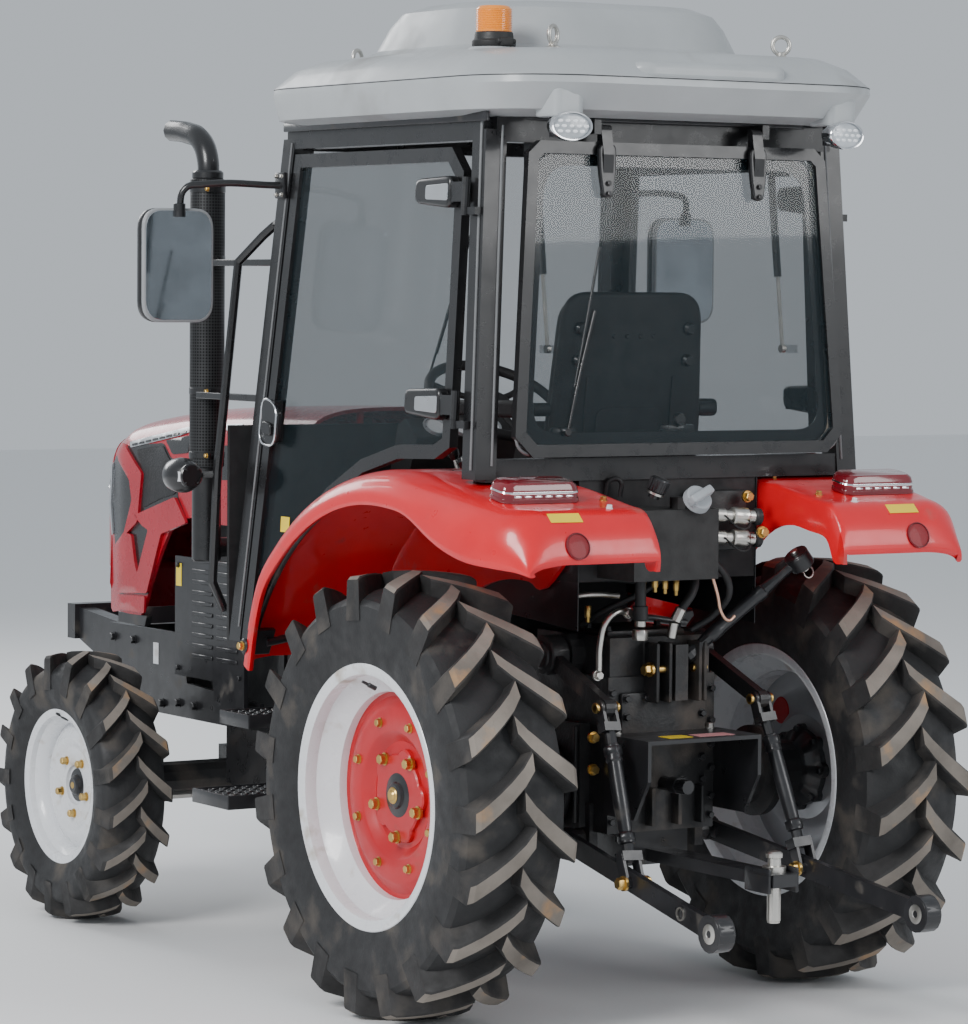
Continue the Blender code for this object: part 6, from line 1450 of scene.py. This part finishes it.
panels, panel_bolts, fronts = [], [], []
for name, side in SIDES.items():
    x = side * 0.35
    for column in (-0.785, -0.64):
        for row in range(12):
            z = 0.748 + 0.03 * row
            panels.append(block((min(x, x + side * 0.004), column, z), (max(x, x + side * 0.004), column
                + 0.118, z + 0.011), 0.0016, 1))
    panels.append(plate("foot_plate", [(side * 0.3145, a, b) for a, b in ((-1.318, 0.838),
        (-1.135, 0.838), (-1.15, 0.806), (-1.318, 0.806))], (side * -0.02, 0, 0), 0.002))
    panel_bolts += [(x, a, b) for a, b in ((-0.87, 0.712), (-0.87, 1.005), (-0.505, 0.712),
        (-0.505, 1.008), (-0.505, 0.86))]
    fronts += [(side * 0.3, a, b) for a, b in ((-1.37, 0.64), (-1.37, 0.76), (-1.24, 0.64), (-1.24, 0.76),
        (-1.06, 0.59), (-0.96, 0.6), (-0.86, 0.6))]
finish_piece(joined("side_panel_louvres", *panels), "chassis", black_paint, "black")
frame_bolts = []
for side in (1, -1):
    frame_bolts.append(bolts("b", [Vector(p) for p in panel_bolts if p[0] * side > 0], (side, 0, 0), 0.014))
    frame_bolts.append(bolts("b", [Vector(p) for p in fronts if p[0] * side > 0], (side, 0, 0), 0.022))
finish_piece(joined("frame_bolts", *frame_bolts), "chassis", black_paint, "black")
face_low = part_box("front_frame")[0]
bracket_bolts = bolts("bracket_bolts", [(x, face_low.y, 0.778) for x in (-0.225, -0.14, 0.14, 0.225)],
    (0, -1, 0), 0.024)
finish_piece(bracket_bolts, "chassis", zinc, "steel")
stickers = [plate("sticker", [(side * 0.3506, a, b) for a, b in ((-0.884, 0.945), (-0.852, 0.945),
    (-0.852, 1.01), (-0.884, 1.01))], (side * 0.0006, 0, 0), 0) for side in (1, -1)]
finish_piece(joined("panel_stickers", *stickers), "chassis", sticker_yellow, "plastic")
pale = [plate("sticker", [(side * 0.3004, a, b) for a, b in ((-1.12, 0.7), (-1.088, 0.7), (-1.088, 0.762),
    (-1.12, 0.762))], (side * 0.0006, 0, 0), 0) for side in (1, -1)]
finish_piece(joined("frame_stickers", *pale), "chassis", white_paint, "plastic")


# ---------------------------------------------------------------- exhaust, mirrors, rails and steps
# A dark pipe in a perforated shield held by clamps, flat mirrors in pale rims, rubber-capped
# position lamps on the rails and pressed treads with raised rings and rims.

shield_black = material("shield_black", (0.04, 0.041, 0.043), 0.42, metal=0.5, spread=0.15, grain=0.1,
    grain_scale=200)
tree = shield_black.node_tree
stack = Vector((0.47, REAR_Y - 1.3))
split = tree.nodes.new("ShaderNodeSeparateXYZ")
tree.links.new(tree.nodes.new("ShaderNodeTexCoord").outputs["Object"], split.inputs[0])


def sum_of(kind, first, second):
    node = tree.nodes.new("ShaderNodeMath")
    node.operation = kind
    for socket, value in zip(node.inputs, (first, second)):
        if isinstance(value, float):
            socket.default_value = value
        else:
            tree.links.new(value, socket)
    return node.outputs[0]


angle = sum_of("ARCTAN2", sum_of("SUBTRACT", split.outputs[1], stack.y),
    sum_of("SUBTRACT", split.outputs[0], stack.x))
holes = tree.nodes.new("ShaderNodeCombineXYZ")
tree.links.new(sum_of("MULTIPLY", angle, 36 / (2 * math.pi)), holes.inputs[0])
tree.links.new(sum_of("MULTIPLY", split.outputs[2], 120.0), holes.inputs[1])
cells = tree.nodes.new("ShaderNodeTexVoronoi")
cells.voronoi_dimensions = "2D"
cells.inputs["Scale"].default_value = 1.0
cells.inputs["Randomness"].default_value = 0.0
tree.links.new(holes.outputs[0], cells.inputs["Vector"])
mask = sum_of("LESS_THAN", cells.outputs["Distance"], 0.34)
shader = tree.nodes["Principled BSDF"]
before = shader.inputs["Base Color"].links[0].from_socket
blend_holes = tree.nodes.new("ShaderNodeMix")
blend_holes.data_type = "RGBA"
tree.links.new(mask, blend_holes.inputs["Factor"])
tree.links.new(before, blend_holes.inputs[6])
blend_holes.inputs[7].default_value = (0.002, 0.002, 0.002, 1)
tree.links.new(blend_holes.outputs[2], shader.inputs["Base Color"])

elbow = [(stack.x, stack.y, 2.07), (stack.x, stack.y, 2.14), (stack.x, stack.y - 0.04, 2.195),
    (stack.x, stack.y - 0.11, 2.216), (stack.x, stack.y - 0.205, 2.226)]
pipes = [pipe(elbow, 0.03, "elbow", 10), rod((stack.x, stack.y, 1.044), (stack.x, stack.y, 1.32), 0.04,
    40, 0.004), rod((stack.x, stack.y, 2.085), (stack.x, stack.y, 2.112), 0.043, 40, 0.006),
    rod((0.193, stack.y + 0.003, 1.08), (stack.x - 0.02, stack.y + 0.003, 1.08), 0.027, 32),
    rod((0.3, stack.y + 0.003, 1.08), (0.312, stack.y + 0.003, 1.08), 0.034, 32)]
for z in (1.5, CAB_TOP - 0.32):
    pipes.append(plate("bracket", [(side_x(z) - 0.045, stack.y + 0.03, z - 0.009),
        (side_x(z) - 0.015, stack.y + 0.03, z - 0.009), (side_x(z) - 0.015, front_post(z) - 0.031, z
        - 0.009), (side_x(z) - 0.045, front_post(z) - 0.031, z - 0.009)], (0, 0, 0.018), 0.002))
finish_piece(joined("exhaust_stack", *pipes), "chassis", satin_black, "black", "exhaust_stack")
shield = turned("exhaust_shield", (stack.x, stack.y, 0), (0, 0, 1), [(0.041, 1.3), (0.0475, 1.304),
    (0.0478, 1.306), (0.0478, 2.084), (0.0475, 2.086), (0.041, 2.09)], steps=64)
finish_piece(shield, "chassis", shield_black, "black")
clamps = []
for z in (1.335, 1.51, 1.87, 2.06):
    clamps.append(turned("clamp", (stack.x, stack.y, z), (0, 0, 1), [(0.0478, -0.009), (0.0492, -0.008),
        (0.0492, 0.008), (0.0478, 0.009)], steps=48))
    clamps.append(block((stack.x + 0.02, stack.y + 0.04, z - 0.008),
        (stack.x + 0.028, stack.y + 0.062, z + 0.008), 0.002))
finish_piece(joined("exhaust_clamps", *clamps), "chassis", satin_black, "black")
finish_piece(bolts("clamp_bolts",
    [(stack.x + 0.028, stack.y + 0.054, z) for z in (1.335, 1.51, 1.87, 2.06)], (1, 0, 0), 0.012),
    "chassis", brass, "steel")

mirror_glass = material("mirror_glass", (0.62, 0.66, 0.7), 0.05, metal=1.0, spread=0.18, grain=0.0)
rim_grey = material("rim_grey", (0.3, 0.31, 0.32), 0.35, spread=0.08, grain=0.1)
for name, side in SIDES.items():
    z = CAB_TOP - 0.12
    arm = pipe([(side * (side_x(z) + 0.042), front_post(z), z), (side * 0.745, front_post(z) - 0.056, z),
        (side * 0.79, front_post(z) - 0.074, z - 0.012), (side * 0.8, front_post(z) - 0.085, z - 0.07)],
        0.0095)
    foot_x = side * (side_x(z) + 0.034)
    foot = block((min(foot_x, foot_x + side * 0.012), front_post(z) - 0.024, z - 0.034),
        (max(foot_x, foot_x + side * 0.012), front_post(z) + 0.024, z + 0.034), 0.003)
    clamp = rod((side * 0.8, front_post(z) - 0.085, z - 0.085),
        (side * 0.8, front_post(z) - 0.085, z - 0.05), 0.016)
    y = REAR_Y - 0.86
    outline = round_corners([(0.697, 1.702), (0.903, 1.702), (0.903, 1.998), (0.697, 1.998)], 0.055, 7)
    back = plate("back", [(side * a, y - 0.028, b) for a, b in outline], (0, 0.034, 0), 0.014, 4)
    finish_piece(joined(f"mirror_{name}", arm, foot, clamp, back), "chassis", satin_black, "black",
        f"mirror_{name}")
    rim = plate(f"mirror_rim_{name}", [(side * a, y + 0.004, b) for a, b in outline], (0, 0.014, 0),
        0.005, 3)
    finish_piece(rim, "chassis", rim_grey, "black")
    inner = [(0.8 + (a - 0.8) * 0.93, 1.85 + (b - 1.85) * 0.955) for a, b in outline]
    finish_piece(plate(f"mirror_glass_{name}", [(side * a, y + 0.0178, b) for a, b in inner],
        (0, 0.0012, 0), 0.0004), "chassis", mirror_glass, "steel")
    foot_bolts = bolts(f"mirror_bolts_{name}", [(foot_x + side * 0.012, front_post(z) + a, z + b)
        for a in (-0.014, 0.014) for b in (-0.024, 0.024)], (side, 0, 0), 0.01)
    finish_piece(foot_bolts, "chassis", zinc, "steel")

    at = Vector((side * 0.69, REAR_Y - 0.985, 1.295))
    bullet = turned("bullet", at, (0, -1, 0), [(0.0, -0.004), (0.03, -0.004), (0.0355, 0.002),
        (0.0462, 0.028), (0.0468, 0.05), (0.043, 0.074), (0.029, 0.102), (0.012, 0.1165), (0.0, 0.117)],
        steps=48)
    collar = turned("collar", at, (0, 1, 0), [(0.0, 0.014), (0.029, 0.014), (0.033, 0.01), (0.033, 0.003),
        (0.0, 0.003)], steps=40)
    screws = bolts("b", [at + Vector((a, 0.014, b)) for a in (-0.018, 0.018) for b in (-0.018, 0.018)],
        (0, 1, 0), 0.007)
    finish_piece(joined(f"position_lamp_{name}", bullet, collar, screws), "chassis", satin_black, "black")
    finish_piece(plate(f"position_sticker_{name}", [(side * 0.72, REAR_Y - 0.985 + a, b)
        for a, b in ((-0.006, 1.281), (0.01, 1.281), (0.01, 1.307), (-0.006, 1.307))],
        (side * 0.004, 0, 0), 0), "chassis", white_paint, "plastic")

    treads, low_front, low_back = [], REAR_Y - 1.0, REAR_Y - 0.8
    for inner_x, outer_x, first, z in ((0.45, 0.655, low_front + 0.018, 0.455),
            (0.45, 0.595, low_front + 0.058, 0.665)):
        rows = int((outer_x - inner_x) / 0.034) + 1
        for i in range(rows):
            for k in range(5 if z < 0.5 else 4):
                spot = (side * (inner_x + 0.034 * i), first + 0.04 * k, z)
                treads.append(turned("ring", spot, (0, 0, 1), [(0.006, 0.0), (0.0075, 0.004),
                    (0.0105, 0.004), (0.013, 0.0)], steps=14))
    rims = [block((min(side * a, side * b), c, d), (max(side * a, side * b), e, f), 0.002)
        for a, b, c, d, e, f in ((0.435, 0.67, low_front - 0.0015, 0.4255, low_front + 0.004, 0.462),
        (0.435, 0.67, low_back - 0.004, 0.4255, low_back + 0.0015, 0.462), (0.664, 0.6715, low_front,
        0.4255, low_back, 0.462), (0.435, 0.61, low_front + 0.0385, 0.6355, low_front + 0.044, 0.672),
        (0.435, 0.61, low_back - 0.004, 0.6355, low_back + 0.0015, 0.672), (0.604, 0.6115, low_front
        + 0.04, 0.6355, low_back, 0.672))]
    finish_piece(joined(f"step_treads_{name}", *treads, *rims), "chassis", black_paint, "black")
